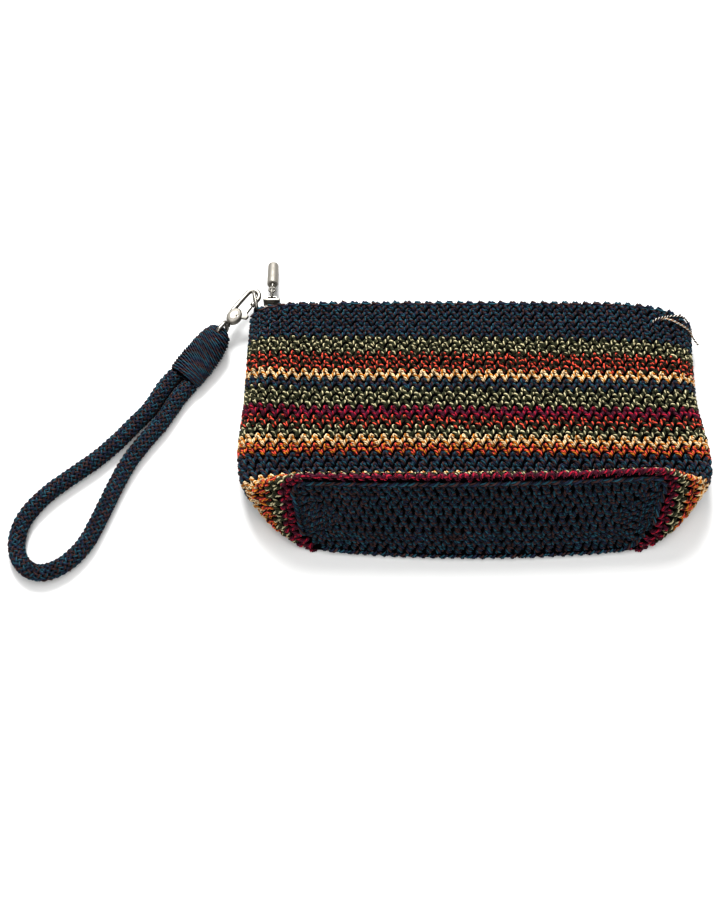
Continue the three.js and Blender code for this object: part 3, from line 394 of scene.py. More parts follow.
class Skein:
    """Closed tubes of one colourway's yarn, gathered into one mesh with a finish for each ply."""

    def __init__(self, colourway):
        plies = COLOURWAYS[colourway]
        self.materials = [PLIES[ply] for ply in dict.fromkeys(plies)]
        self.plies = np.array([list(dict.fromkeys(plies)).index(ply) for ply in plies])
        self.points = []
        self.quads = []
        self.caps = {}
        self.quad_finish = []
        self.cap_finish = {}
        self.uvs = []
        self.count = 0

    def lay(self, paths, outward, radius, turns, phase, plies=(0, 1, 2), sides=5):
        """Yarns along paths, twisted from the colourway's plies of these numbers."""
        rings = ply_rings(paths, outward, radius, turns, phase, len(plies), sides)
        finishes = np.tile(self.plies[list(plies)], len(paths))
        tubes, samples, _, _ = rings.shape
        first = self.count + np.arange(tubes)[:, None, None] * samples * sides
        s = np.arange(samples - 1)[None, :, None]
        k = np.arange(sides)[None, None, :]
        k_next = (k + 1) % sides
        quad = np.stack([first + s * sides + k, first + s * sides + k_next,
                         first + (s + 1) * sides + k_next, first + (s + 1) * sides + k], axis=-1)
        self.points.append(rings.reshape(-1, 3))
        self.quads.append(quad.reshape(-1, 4))
        self.quad_finish.append(np.repeat(finishes, (samples - 1) * sides))
        steps = np.linalg.norm(np.diff(rings.mean(axis=2), axis=1), axis=-1)
        run = np.concatenate([np.zeros((tubes, 1)), np.cumsum(steps, axis=1)], axis=1)[:, :, None]
        around = np.arange(sides + 1)[None, None, :] / sides
        uv = np.stack(np.broadcast_arrays(run + 0 * around, around + 0 * run), axis=-1)
        corners = np.stack([uv[:, :-1, :-1], uv[:, :-1, 1:], uv[:, 1:, 1:], uv[:, 1:, :-1]], axis=3)
        self.uvs.append(corners.reshape(-1, 2))
        start = first[:, 0] + np.arange(sides)[::-1]
        end = first[:, 0] + (samples - 1) * sides + np.arange(sides)
        self.caps.setdefault(sides, []).append(np.concatenate([start, end]))
        self.cap_finish.setdefault(sides, []).append(np.concatenate([finishes, finishes]))
        self.count += tubes * samples * sides

    def build(self, name):
        points = np.concatenate(self.points) * MM
        loops = [np.concatenate(self.quads).ravel()]
        sizes = [np.full(len(loops[0]) // 4, 4)]
        finish = [np.concatenate(self.quad_finish)]
        uvs = [np.concatenate(self.uvs)]
        for sides, caps in self.caps.items():
            caps = np.concatenate(caps)
            loops.append(caps.ravel())
            sizes.append(np.full(len(caps), sides))
            finish.append(np.concatenate(self.cap_finish[sides]))
            uvs.append(np.zeros((caps.size, 2)))
        mesh = bpy.data.meshes.new(name)
        loops = np.concatenate(loops).astype(np.int32)
        sizes = np.concatenate(sizes)
        mesh.vertices.add(len(points))
        mesh.vertices.foreach_set("co", points.ravel())
        mesh.loops.add(len(loops))
        mesh.loops.foreach_set("vertex_index", loops)
        mesh.polygons.add(len(sizes))
        starts = np.concatenate([[0], np.cumsum(sizes)[:-1]])
        mesh.polygons.foreach_set("loop_start", starts.astype(np.int32))
        mesh.polygons.foreach_set("use_smooth", np.ones(len(sizes), bool))
        for material in self.materials:
            mesh.materials.append(material)
        mesh.polygons.foreach_set("material_index", np.concatenate(finish).astype(np.int32))
        layer = mesh.uv_layers.new(name="strand")
        layer.data.foreach_set("uv", np.concatenate(uvs).ravel())
        mesh.update(calc_edges=True)
        return link(bpy.data.objects.new(name, mesh))


def link(obj):
    bpy.context.scene.collection.objects.link(obj)
    return obj


def finished(obj, body, slot, *nodes):
    """Give a piece its body, or bake its place into its mesh to go with the mouth, then hide the solids it
    stands for. The slot is not used.
    """
    if body == BENDS:
        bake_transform(obj)
    else:
        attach(obj, body)
    if nodes:
        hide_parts(*nodes)


def nodes_of(tree):
    """A short way to add nodes to a tree. Inputs go by name, with _ for a space, or by number as i0 or i1."""
    def add(kind, settings=None, **inputs):
        node = tree.nodes.new(kind)
        for key, value in (settings or {}).items():
            setattr(node, key, value)
        for key, value in inputs.items():
            name = key.replace("_", " ")
            socket = node.inputs[int(key[1:])] if key[0] == "i" and key[1:].isdigit() else node.inputs[name]
            if isinstance(value, bpy.types.NodeSocket):
                tree.links.new(value, socket)
            else:
                socket.default_value = value
        return node
    return add


def worked_out(add, operation, *values):
    """The result of a maths node that takes numbers or sockets."""
    inputs = {f"i{k}": value for k, value in enumerate(values)}
    return add("ShaderNodeMath", dict(operation=operation), **inputs).outputs[0]


def scaled_by(add, vector, scale):
    """A colour or a place, multiplied by a scale."""
    return add("ShaderNodeVectorMath", dict(operation="SCALE"), i0=vector, Scale=scale).outputs[0]


def new_group(name, value_in, default, values_out):
    """A node group with a colour and a value going in, and a colour and the named values coming out.

    With the group come the way to add nodes to it, its input node and the object's own place.
    """
    group = bpy.data.node_groups.new(name, "ShaderNodeTree")
    sockets = group.interface
    colour = sockets.new_socket("Colour", in_out="INPUT", socket_type="NodeSocketColor")
    colour.default_value = (0.5, 0.5, 0.5, 1)
    value = sockets.new_socket(value_in, in_out="INPUT", socket_type="NodeSocketFloat")
    value.default_value = default
    sockets.new_socket("Colour", in_out="OUTPUT", socket_type="NodeSocketColor")
    for value_out in values_out:
        sockets.new_socket(value_out, in_out="OUTPUT", socket_type="NodeSocketFloat")
    add = nodes_of(group)
    return group, add, add("NodeGroupInput"), add("ShaderNodeTexCoord").outputs["Object"]


def fibre_and_shade_group():
    """Twisted fibres along a ply, from its own length and turn, with a slow change of tone. The colour also
    holds painted shade: darker in the grooves between fibres, and darker where ambient occlusion finds the
    gaps between plies and stitches.
    """
    group, add, given, place = new_group("spun_fibre_and_shade", "Deepening", 0.45, ("Height", "Roughness"))
    strand = add("ShaderNodeUVMap", dict(uv_map="strand"))
    parts = add("ShaderNodeSeparateXYZ", Vector=strand.outputs[0])
    slant = worked_out(add, "MULTIPLY_ADD", parts.outputs[0], 0.9, parts.outputs[1])
    ridge = worked_out(add, "SINE", worked_out(add, "MULTIPLY", slant, 4 * TURN))
    fuzz = add("ShaderNodeTexNoise", Vector=place, Scale=1900.0, Detail=3.0).outputs["Fac"]
    tone = add("ShaderNodeTexNoise", Vector=place, Scale=170.0, Detail=2.0).outputs["Fac"]
    height = worked_out(add, "MULTIPLY_ADD", ridge, 0.28, fuzz)
    shade = add("ShaderNodeMapRange", Value=height, From_Min=0.15, From_Max=0.85)
    # Painted shade: the low grooves between fibres are darkened in the colour, by the group's second input
    dark = worked_out(add, "SUBTRACT", 1.0, given.outputs["Deepening"])
    tone_range = add("ShaderNodeMapRange", Value=tone, From_Min=0.3, From_Max=0.7, To_Min=0.7, To_Max=1.2)
    level = add("ShaderNodeMix", dict(data_type="FLOAT"), Factor=shade.outputs[0], i2=dark, i3=1.0)
    # Painted shade: ambient occlusion darkens the colour in the gaps between plies and stitches
    occlusion_shade = add("ShaderNodeAmbientOcclusion", dict(samples=4), Distance=0.0016)
    painted_shade_share = worked_out(add, "POWER", occlusion_shade.outputs["AO"], 1.6)
    shaded = worked_out(add, "MULTIPLY", level.outputs[0], painted_shade_share)
    scale = worked_out(add, "MULTIPLY", shaded, tone_range.outputs[0])
    colour = scaled_by(add, given.outputs["Colour"], scale)
    rough = add("ShaderNodeMapRange", Value=fuzz, To_Min=0.5, To_Max=0.75)
    add("NodeGroupOutput", Colour=colour, Height=height, Roughness=rough.outputs[0])
    return group


def new_material(name):
    material = bpy.data.materials.new(name)
    material.use_nodes = True
    material.node_tree.nodes.clear()
    add = nodes_of(material.node_tree)
    shader = add("ShaderNodeBsdfPrincipled")
    add("ShaderNodeOutputMaterial", Surface=shader.outputs[0])
    return material, add, shader


def connect(material, source, target):
    material.node_tree.links.new(source, target)


FIBRE_AND_SHADE = fibre_and_shade_group()


def yarn_material(name, colour):
    material, add, shader = new_material(name)
    # The group's second input sets how dark the painted shade in the fibre grooves is
    fibre = add("ShaderNodeGroup", dict(node_tree=FIBRE_AND_SHADE), Colour=(*colour, 1.0), Deepening=0.45)
    bump = add("ShaderNodeBump", Height=fibre.outputs["Height"], Strength=0.5, Distance=0.0001)
    connect(material, fibre.outputs["Colour"], shader.inputs["Base Color"])
    connect(material, fibre.outputs["Roughness"], shader.inputs["Roughness"])
    connect(material, bump.outputs[0], shader.inputs["Normal"])
    shader.inputs["Sheen Weight"].default_value = 0.04
    shader.inputs["Sheen Roughness"].default_value = 0.4
    shader.inputs["Specular IOR Level"].default_value = 0.22
    return material


PLY_COLOURS = {
    "navy": (0.023, 0.032, 0.070),
    "teal": (0.027, 0.104, 0.140),
    "brown": (0.085, 0.042, 0.040),
    "olive": (0.040, 0.046, 0.020),
    "moss": (0.070, 0.072, 0.036),
    "cream": (0.64, 0.58, 0.37),
    "ivory": (0.90, 0.68, 0.42),
    "chalk": (0.92, 0.86, 0.76),
    "tan": (0.46, 0.27, 0.15),
    "ochre": (0.66, 0.26, 0.034),
    "coral": (0.88, 0.135, 0.080),
    "bark": (0.050, 0.026, 0.018),
    "maroon": (0.115, 0.012, 0.016),
    "crimson": (0.46, 0.018, 0.058),
    "plum": (0.115, 0.013, 0.040),
}
PLIES = {name: yarn_material("ply_" + name, colour) for name, colour in PLY_COLOURS.items()}

# Each colourway is a yarn of three plies
COLOURWAYS = {
    "night": ("navy", "teal", "brown"),
    "olive": ("olive", "cream", "moss"),
    "ember": ("coral", "bark", "olive"),
    "gold": ("ivory", "ochre", "ivory"),
    "sunset": ("coral", "ochre", "maroon"),
    "wine": ("crimson", "plum", "plum"),
    "thread": ("chalk", "tan", "bark"),
}

# Rounds of the wall from the base up: first round, last round, colourway
STRIPES = [
    (1, 1, "wine"), (2, 2, "olive"), (3, 3, "sunset"), (4, 4, "gold"), (5, 6, "night"), (7, 7, "sunset"),
    (8, 8, "gold"), (9, 9, "olive"), (10, 10, "ember"), (11, 11, "wine"), (12, 13, "olive"),
    (14, 14, "night"), (15, 15, "gold"), (16, 17, "ember"), (18, 19, "olive"), (20, 24, "night"),
]

# One stitch in shares of the stitch and round pitches, with the depth in millimetres
LEG = [(0.04, -0.02, 2.7), (0.06, 0.13, 1.3), (0.14, 0.34, 0.8), (0.28, 0.57, 1.1), (0.40, 0.76, 2.7)]
CAP = [(0.41, 0.72, 2.7), (0.38, 0.89, 1.1), (0.50, 1.05, 0.5), (0.62, 0.89, 1.1), (0.59, 0.72, 2.7)]
STITCH_SAMPLES = 13
LEG_TURNS = 1.9
CAP_TURNS = 1.8
YARN_RADIUS = 0.88
BASE_YARN_RADIUS = 1.22
BASE_TWISTING = 1.25
MOST_ROUNDS = 2

# How far the rounds lie towards the mouth of their even place, and how far each climbs on its way round
SETTLING = ((0, 9, 12, 14.5, 17, 19, 22, 24), (0, 0, 0.15, 0.4, 0.5, 0.4, 0.15, 0))
SPIRAL = ((1, 4, 20, 23.5), (0, 0.8, 0.8, 0))

# Where each round's number puts it below the ridge, above the ridge and round the base's ends, and how far
# the first rounds are drawn onto the base there
LOW_PLACES = ((-1, 0, 4, ROUNDS + 1), (-0.1, 0.75, 4, ROUNDS + 1))
RIDGE_PLACES = ((-1, 0, 1, 4, 6, ROUNDS + 1), (-2, -1, 0.5, 3.2, 6, ROUNDS + 1))
END_PLACES = ((-1, 0, 1, 2, 3, 4, 6, ROUNDS + 1), (0, 0, 0.1, 0.75, 1.7, 3.1, 6, ROUNDS + 1))
END_DRAW = ((-1, 0, 1), (1.9, 1, 0))

# How much stitches and links differ, in shares of the pitches or of their own size, or in millimetres
SWAY = 0.035
CLIMB = 0.03
WOBBLE = 0.02
DEPTH_SPREAD = 0.07
YARN_SPREAD = 0.05
TWIST_SPREAD = 0.15
LINK_SPREAD = 0.08
LINK_TWIST_SPREAD = 0.12

# How far round, just under a turn, the first ply of a link or of a winding may start
LAST_START = 6.28

LEG_PATH = smooth_path(LEG, STITCH_SAMPLES)
STITCH_FORMS = [
    (LEG_PATH, LEG_TURNS),
    (LEG_PATH * np.array([-1.0, 1.0, 1.0]), LEG_TURNS),
    (smooth_path(CAP, STITCH_SAMPLES), CAP_TURNS),
]


def lay_stitches(skein, place, columns, round_start, radius=YARN_RADIUS, twisting=1.0):
    """One round of stitches. place(column, row, depth) gives points and outward directions."""
    count = len(columns)
    sway = rng.normal(0, SWAY, count)
    climb = rng.normal(0, CLIMB, count)
    for form, twist in STITCH_FORMS:
        wobble = rng.normal(0, WOBBLE, (count, 2))
        column = columns[:, None] + form[None, :, 0] + (sway + wobble[:, 0])[:, None]
        row = round_start + form[None, :, 1] + (climb + wobble[:, 1])[:, None]
        depth = form[None, :, 2] + rng.normal(0, DEPTH_SPREAD, count)[:, None]
        paths, outward = place(column, row, np.maximum(depth, radius * 0.9))
        paths[..., 2] = np.maximum(paths[..., 2], radius)
        size = radius * rng.normal(1.0, YARN_SPREAD, count)
        turns = twisting * twist * rng.normal(1.0, TWIST_SPREAD, count)
        skein.lay(paths, outward, size, turns, rng.uniform(0, TURN, count))


def eased(share):
    share = np.clip(share, 0, 1)
    return share * share * (3 - 2 * share)


def end_share(x, reach):
    """How far x lies within a reach of either end of the base."""
    return (np.abs(x) - BASE_LENGTH / 2 + reach) / reach


def rolled_rounds(u):
    """How many of the wall's rounds lie on the base's face, and how far round an end each place is.

    Along the ridge it is one round, round the ends more, and along the low side none.
    """
    f, front = half_place(np.asarray(u, float))
    x, w = outline_point(f, front, BASE_LENGTH, BASE_DEPTH, BASE_CORNER)
    share = eased(w / BASE_DEPTH + 0.5)
    end = eased(end_share(x, END_REACH))
    return share + END_ROLL * (1 - share) * end, end


def wall_place(column, row, depth):
    """Where the wall's stitches lie. Past the ridge, the first round turns onto the base's face."""
    u = column / STITCHES
    rolled, end = rolled_rounds(u)
    share = np.minimum(rolled, 1)
    row = row + np.interp(row, *SETTLING)
    row = row + (u % 1.0 - 0.5) * np.interp(row, *SPIRAL)
    below = np.interp(row, *LOW_PLACES)
    above = np.interp(row, *RIDGE_PLACES)
    round_end = np.interp(row, *END_PLACES) - rolled * np.interp(row, *END_DRAW)
    row = below + share * (above - below)
    row = row + end * (round_end - row)
    wall, wall_out = wall_point(u, np.maximum(row, 0), depth)
    base, base_out = base_point(u, -ROUND_PITCH * np.minimum(row, 0), depth)
    blend = np.clip((row + 0.35) / 0.7, 0, 1)[..., None]
    blend = np.where(share[..., None] > 0.02, blend, 1.0)
    return base + (wall - base) * blend, unit(base_out + (wall_out - base_out) * blend)


def make_wall_stitches():
    """The striped wall, one piece for each stripe."""
    for start, end, colourway in STRIPES:
        for first in range(start, end + 1, MOST_ROUNDS):
            last = min(first + MOST_ROUNDS - 1, end)
            skein = Skein(colourway)
            for number in range(first, last + 1):
                columns = np.arange(STITCHES) + ROUND_LEAN * number
                lay_stitches(skein, wall_place, columns, number - 1)
            piece = skein.build(f"crochet_rounds_{first:02d}_{last:02d}_{colourway}")
            finished(piece, BENDS if first > CORNER_ROUND else "pouch", "striped_yarn")


def make_base_stitches():
    """Flat rounds of the base, from its middle line out to its edge."""
    skein = Skein("night")
    for number in range(BASE_ROUNDS):
        outer = (BASE_ROUNDS - 1 - number) * BASE_ROUND_PITCH
        corner = max(BASE_CORNER - outer, LEAST_CORNER)
        edge = 2 * (BASE_LENGTH + BASE_DEPTH - 4 * outer) - (8 - TURN) * corner
        count = round(edge / STITCH_PITCH)

        def place(column, row, depth):
            turn = column / count
            rolled, _ = rolled_rounds(turn)
            past = EDGE_OVERHANG * np.maximum(row - BASE_ROUNDS + 1, 0) * np.clip(1 - rolled, 0, 1)
            inset = np.maximum(BASE_DEPTH / 2 - row * BASE_ROUND_PITCH - past, 0.9)
            middle = BASE_DEPTH / 2 - (number + 0.5) * BASE_ROUND_PITCH
            point, outward = base_point(turn, middle, depth)
            ahead, _ = base_point(turn + 2 * NEARBY, middle, depth)
            back, _ = base_point(turn - 2 * NEARBY, middle, depth)
            away = unit(np.cross(ahead - back, outward))
            point = point + (middle - inset)[..., None] * away
            share = eased((point - BASE_EDGE) @ BASE_UP / BASE_DEPTH)
            x = point[..., 0]
            end = eased(end_share(x, END_REACH))
            up = END_ROLL * end * (1 - share) ** 3 - share
            ease = np.clip(end_share(x, BASE_EASE), 0, 1)
            along = -np.sign(x) * ease * (share + END_ROLL * (1 - share))
            moved = up[..., None] * BASE_UP + along[..., None] * np.array([1.0, 0.0, 0.0])
            return point + ROUND_PITCH * moved, outward

        columns = np.arange(count, dtype=float)
        lay_stitches(skein, place, columns, number, BASE_YARN_RADIUS, BASE_TWISTING)
        if number % 2 == 0 or number == BASE_ROUNDS - 1:
            finished(skein.build(f"crochet_base_rounds_{number + 1:02d}"), "pouch", "base_yarn")
            skein = Skein("night")


def edge_frame(u):
    """The line where base and wall meet: its points, outward directions and directions along it."""
    rolled, _ = rolled_rounds(u)
    inset = ROUND_PITCH * rolled + LOW_EDGE_INSET * np.maximum(1 - rolled, 0)
    points, base_out = base_point(u, inset, 0.0)
    ahead, _ = base_point(u + NEARBY, inset, 0.0)
    back, _ = base_point(u - NEARBY, inset, 0.0)
    return points, base_out, unit(ahead - back)


def lay_chain(skein, frame_at, columns, side, lift, radius, overlap=1.12, turns=0.9):
    """Links of a chain along a line, each a little longer than a stitch is wide.

    side is how far each link's start, middle and end lie across the line, lift how high its start and middle.
    """
    links = len(columns)
    share = np.linspace(0, 1, CHAIN_SAMPLES)
    column = columns[:, None] + overlap * share[None, :] + rng.normal(0, CLIMB, links)[:, None]
    points, outward, along = frame_at(column / STITCHES)
    across = unit(np.cross(along, outward))
    drift = np.interp(share, [0, 0.5, 1], side) + rng.normal(0, LINK_SPREAD, links)[:, None]
    rise = lift[0] + (lift[1] - lift[0]) * np.sin(math.pi * share) ** 0.8
    rise = rise[None, :] + rng.normal(0, LINK_SPREAD, links)[:, None]
    paths = points + drift[..., None] * across + rise[..., None] * outward
    paths[..., 2] = np.maximum(paths[..., 2], radius)
    size = radius * rng.normal(1.0, YARN_SPREAD, links)
    twist = rng.normal(turns, LINK_TWIST_SPREAD, links)
    skein.lay(paths, outward, size, twist, rng.uniform(0, LAST_START, links))


def make_ridge_chain():
    """Long strands along the edge of the base, from stitches worked round one side of each chain."""
    skein = Skein("night")
    columns = np.arange(STITCHES)
    points, _, _ = edge_frame(columns / STITCHES)
    high = (points - BASE_EDGE) @ BASE_UP > HIGH_CHAIN_START * BASE_DEPTH
    low = rolled_rounds(columns / STITCHES)[0] < LOW_CHAIN_END
    lay_chain(skein, edge_frame, columns[high], EDGE_DRIFT, (-1.4, 0.1), YARN_RADIUS, turns=0.6)
    lay_chain(skein, edge_frame, columns[low], EDGE_DRIFT, (-1.8, -0.5), LOW_CHAIN_RADIUS, 1.3, 1.1)
    finished(skein.build("crochet_base_edge"), "pouch", "base_yarn")


def lip_frame(u):
    """The lip's middle line: its points, the direction out of the mouth and the direction along it."""
    points, outward = wall_point(u, ROUNDS, WALL / 2)
    ahead, _ = wall_point(u + NEARBY, ROUNDS, WALL / 2)
    back, _ = wall_point(u - NEARBY, ROUNDS, WALL / 2)
    along = unit(ahead - back)
    return points, unit(np.cross(outward, along)), along


def make_lip_chain():
    """The last round's chain, two strands to a stitch, which lies on the lip like a plait."""
    skein = Skein("night")
    for side in (-1, 1):
        drift = [side * reach for reach in LIP_CHAIN_DRIFT]
        lay_chain(skein, lip_frame, np.arange(STITCHES), drift, LIP_CHAIN_LIFT, LIP_CHAIN_RADIUS, overlap=1.3)
    finished(skein.build("crochet_lip_chain"), BENDS, "striped_yarn")


def mesh_object(name, points, faces, material, bevel=0.0):
    """A closed mesh with its faces turned outwards. Without a bevel, only four-sided faces are smooth."""
    mesh = bpy.data.meshes.new(name)
    mesh.from_pydata((points * MM).tolist(), [], faces)
    mesh.materials.append(material)
    bm = bmesh.new()
    bm.from_mesh(mesh)
    bmesh.ops.recalc_face_normals(bm, faces=bm.faces)
    if bevel:
        bmesh.ops.bevel(bm, geom=bm.edges[:], offset=bevel * MM, segments=3, profile=0.5, affect="EDGES")
    for face in bm.faces:
        face.smooth = bevel > 0 or len(face.verts) == 4
    bm.to_mesh(mesh)
    bm.free()
    return link(bpy.data.objects.new(name, mesh))


def slab(name, grid_outer, grid_inner, material, closed=False):
    """A closed skin between two grids (rows, columns, 3), wrapped round where closed."""
    rows, columns, _ = grid_outer.shape
    points = np.concatenate([grid_outer.reshape(-1, 3), grid_inner.reshape(-1, 3)])
    layer = rows * columns

    def at(deep, j, i):
        return deep * layer + j * columns + (i % columns)

    faces = []
    cells = columns if closed else columns - 1
    for j in range(rows - 1):
        for i in range(cells):
            faces.append((at(0, j, i), at(0, j, i + 1), at(0, j + 1, i + 1), at(0, j + 1, i))[::-1])
            faces.append((at(1, j, i), at(1, j, i + 1), at(1, j + 1, i + 1), at(1, j + 1, i)))
    for i in range(cells):
        faces.append((at(0, 0, i), at(0, 0, i + 1), at(1, 0, i + 1), at(1, 0, i)))
        faces.append((at(0, rows - 1, i), at(1, rows - 1, i), at(1, rows - 1, i + 1), at(0, rows - 1, i + 1)))
    if not closed:
        for j in range(rows - 1):
            last = columns - 1
            faces.append((at(0, j, 0), at(1, j, 0), at(1, j + 1, 0), at(0, j + 1, 0)))
            faces.append((at(0, j, last), at(0, j + 1, last), at(1, j + 1, last), at(1, j, last)))
    return mesh_object(name, points, faces, material)


def weave_group():
    """A plain weave from the object's own place, with the grain of its threads. Its colour is darker in the
    weave's low cells as painted shade, and the grain gives it a random tone.
    """
    group, add, given, place = new_group("plain_weave", "Threads", 900.0, ("Height",))
    parts = add("ShaderNodeSeparateXYZ", Vector=scaled_by(add, place, given.outputs["Threads"]))
    waves = [worked_out(add, "SINE", worked_out(add, "MULTIPLY", run, TURN)) for run in parts.outputs[:2]]
    weave = worked_out(add, "MULTIPLY", *waves)
    grain = add("ShaderNodeTexNoise", Vector=place, Scale=2600.0, Detail=2.0)
    height = worked_out(add, "MULTIPLY_ADD", weave, 0.4, grain.outputs["Fac"])
    # Painted shade: the colour follows the weave's height, darker where it is low, with the grain as a random
    # tone
    shade = add("ShaderNodeMapRange", Value=height, To_Min=0.6, To_Max=1.25)
    colour = scaled_by(add, given.outputs["Colour"], shade.outputs[0])
    add("NodeGroupOutput", Colour=colour, Height=height)
    return group


PLAIN_WEAVE = weave_group()


def cloth_material(name, colour, threads, roughness=0.85, sheen=0.1):
    material, add, shader = new_material(name)
    weave = add("ShaderNodeGroup", dict(node_tree=PLAIN_WEAVE), Colour=(*colour, 1.0), Threads=threads)
    bump = add("ShaderNodeBump", Height=weave.outputs["Height"], Strength=0.5, Distance=0.0001)
    connect(material, weave.outputs["Colour"], shader.inputs["Base Color"])
    connect(material, bump.outputs[0], shader.inputs["Normal"])
    shader.inputs["Roughness"].default_value = roughness
    shader.inputs["Specular IOR Level"].default_value = 3 * sheen
    shader.inputs["Sheen Weight"].default_value = sheen
    return material


# Painted shade: near-black colour for layers hidden behind stitches and strands, so the gaps between them
# read as deep shade
SHADOWED_YARN = cloth_material("yarn_in_shadow", (0.003, 0.003, 0.004), 420.0, sheen=0.0)
LINING_CLOTH = cloth_material("lining_cotton", (0.018, 0.024, 0.036), 1100.0)


def wall_skin(name, columns, rows, near, far, material):
    """A closed skin all round the wall between two depths, with its columns closer near the folds."""
    us = (0.5 - 0.5 * np.cos(math.pi * np.arange(columns) / (columns - 1))) * 0.5
    us = np.concatenate([us, 0.5 + us[1:-1]])
    u, row = np.meshgrid(us, rows)
    outer, _ = wall_point(u, row, near)
    inner, _ = wall_point(u, row, far)
    return slab(name, outer, inner, material, closed=True)


def make_wall_ground():
    """The dense inner half of the crocheted wall, seen only between stitches, coloured near black as painted
    shade in the gaps.
    """
    rows = np.linspace(0.1, ROUNDS - 0.15, 49)
    piece = wall_skin("crochet_ground", 61, rows, GROUND_DEPTH, GROUND_BACK, SHADOWED_YARN)
    finished(piece, BENDS, "striped_yarn", "crochet_back", "crochet_front")


def base_grid(margin, depth):
    """Points over the base's face, held in by a margin, at a depth."""
    reach = BASE_LENGTH / 2 - margin
    half = BASE_DEPTH / 2 - margin
    corner = max(BASE_CORNER - margin, 1.0)
    x = reach * np.cos(math.pi * np.arange(41) / 40)
    past = np.maximum(0, np.abs(x) - reach + corner)
    rise = half - corner + np.sqrt(np.maximum(0, corner ** 2 - past ** 2))
    w = np.linspace(-1, 1, 9)[:, None] * rise[None, :]
    return base_face(np.broadcast_to(x, w.shape), w) + depth * BASE_IN


def make_base_ground():
    # Painted shade: a near-black layer under the base's stitches, seen only in the gaps between them
    outer = base_grid(GROUND_MARGIN, GROUND_DEPTH)
    inner = base_grid(GROUND_MARGIN, GROUND_BACK)
    piece = slab("crochet_base_ground", outer, inner, SHADOWED_YARN)
    finished(piece, "pouch", "base_yarn", "crochet_base")


def make_linings():
    back = LINING_DEPTH + LINING
    rows = np.linspace(LINING_START, ROUNDS - 0.05, 33)
    wall = wall_skin("lining_wall_cloth", 41, rows, LINING_DEPTH, back, LINING_CLOTH)
    finished(wall, BENDS, "lining_cloth", "lining_back", "lining_front")
    margin = LINING_DEPTH + 1
    base = slab("lining_base_cloth", base_grid(margin, LINING_DEPTH), base_grid(margin, back), LINING_CLOTH)
    finished(base, "pouch", "lining_cloth", "lining_base")


def clasp_points(points):
    """Points given in the clasp's frame, in this file's frame."""
    points = np.asarray(points, float)
    cos, sin = math.cos(CLASP_TURN), math.sin(CLASP_TURN)
    a, s, z = points[..., 0], points[..., 1], points[..., 2]
    return np.stack([CLASP_X + a * cos - s * sin, CLASP_Y + a * sin + s * cos, CLASP_Z + z], axis=-1)


def clasp_way(a, s):
    """A direction given in the clasp's frame, in this file's frame."""
    return clasp_points((a, s, 0)) - clasp_points((0, 0, 0))


def even_path(points, samples):
    """A smooth path through the points with its samples evenly spaced along it."""
    fine = smooth_path(points, 40 * len(points))
    run = np.concatenate([[0.0], np.cumsum(np.linalg.norm(np.diff(fine, axis=0), axis=1))])
    at = np.linspace(0, run[-1], samples)
    return np.stack([np.interp(at, run, fine[:, k]) for k in range(3)], axis=1), run[-1]


def rope_line(samples):
    """The rope's middle line from one leg round to the other, and its length."""
    level = ROPE_RADIUS - CLASP_Z
    straight = ROPE_START - 2 * ROPE_RADIUS
    first = clasp_points([(ROPE_START, LEG_SPREAD, level), (straight, LEG_SPREAD, level)])
    last = clasp_points([(straight, -LEG_SPREAD, level), (ROPE_START, -LEG_SPREAD, level)])
    route = [(x, y - REST_POINT_Y, ROPE_RADIUS) for x, y in ROPE_ROUTE]
    return even_path(np.concatenate([first, route, last]), samples)


def make_rope():
    """The wrist rope, a braid of as many strands one way round as the other."""
    line, length = rope_line(ROPE_SAMPLES)
    along = unit(np.gradient(line, axis=0))
    across = unit(np.cross(along, UP))
    turn = TURN * np.linspace(0, length, len(line)) / ROPE_PITCH
    skein = Skein("night")
    for way in (1, -1):
        start = TURN * np.arange(ROPE_STRANDS) / ROPE_STRANDS
        angle = start[:, None] + way * turn[None, :]
        radial = turned(angle, across, UP)
        reach = ROPE_RADIUS - ROPE_STRAND - ROPE_WAVE + way * ROPE_WAVE * np.cos(ROPE_STRANDS * turn)
        paths = line[None] + reach[None, :, None] * radial
        twist = rng.normal(ROPE_TWIST, 3, ROPE_STRANDS)
        phase = rng.uniform(0, TURN, ROPE_STRANDS)
        skein.lay(paths, radial, np.full(ROPE_STRANDS, ROPE_STRAND), twist, phase, sides=4)
    piece = skein.build("strap_rope_braid")
    finished(piece, "strap", "rope_yarn", "strap_loop")
    # Painted shade: a near-black core inside the braid, seen only in the gaps between its strands
    core = sweep("strap_rope_core", line[::4], round_section(ROPE_CORE, 10), UP, SHADOWED_YARN)
    finished(core, "strap", "rope_yarn")
    route = [tuple(point * MM) for point in line]
    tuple(route[0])


def round_section(radius, sides, flat=1.0):
    angle = TURN * np.arange(sides) / sides
    return np.stack([radius * np.cos(angle), flat * radius * np.sin(angle)], axis=1)


def grid_mesh(name, rings, closed, material):
    """A tube through rings of points (steps, sides, 3), with flat ends unless it closes on itself."""
    steps, sides, _ = rings.shape
    faces = []
    for j in range(steps if closed else steps - 1):
        for k in range(sides):
            here, there = j * sides, ((j + 1) % steps) * sides
            faces.append((here + k, here + (k + 1) % sides, there + (k + 1) % sides, there + k))
    if not closed:
        faces.append(tuple(range(sides))[::-1])
        faces.append(tuple((steps - 1) * sides + k for k in range(sides)))
    return mesh_object(name, rings.reshape(-1, 3), faces, material)


def sweep(name, points, section, up, material, closed=False):
    """A tube with one section along a path. The section's second direction is the one nearest to up."""
    points = np.asarray(points, float)
    if closed:
        along = unit(np.roll(points, -1, axis=0) - np.roll(points, 1, axis=0))
    else:
        along = unit(np.gradient(points, axis=0))
    across = unit(np.cross(along, up))
    over = np.cross(across, along)
    rings = points[:, None] + section[None, :, 0, None] * across[:, None]
    rings = rings + section[None, :, 1, None] * over[:, None]
    return grid_mesh(name, rings, closed, material)


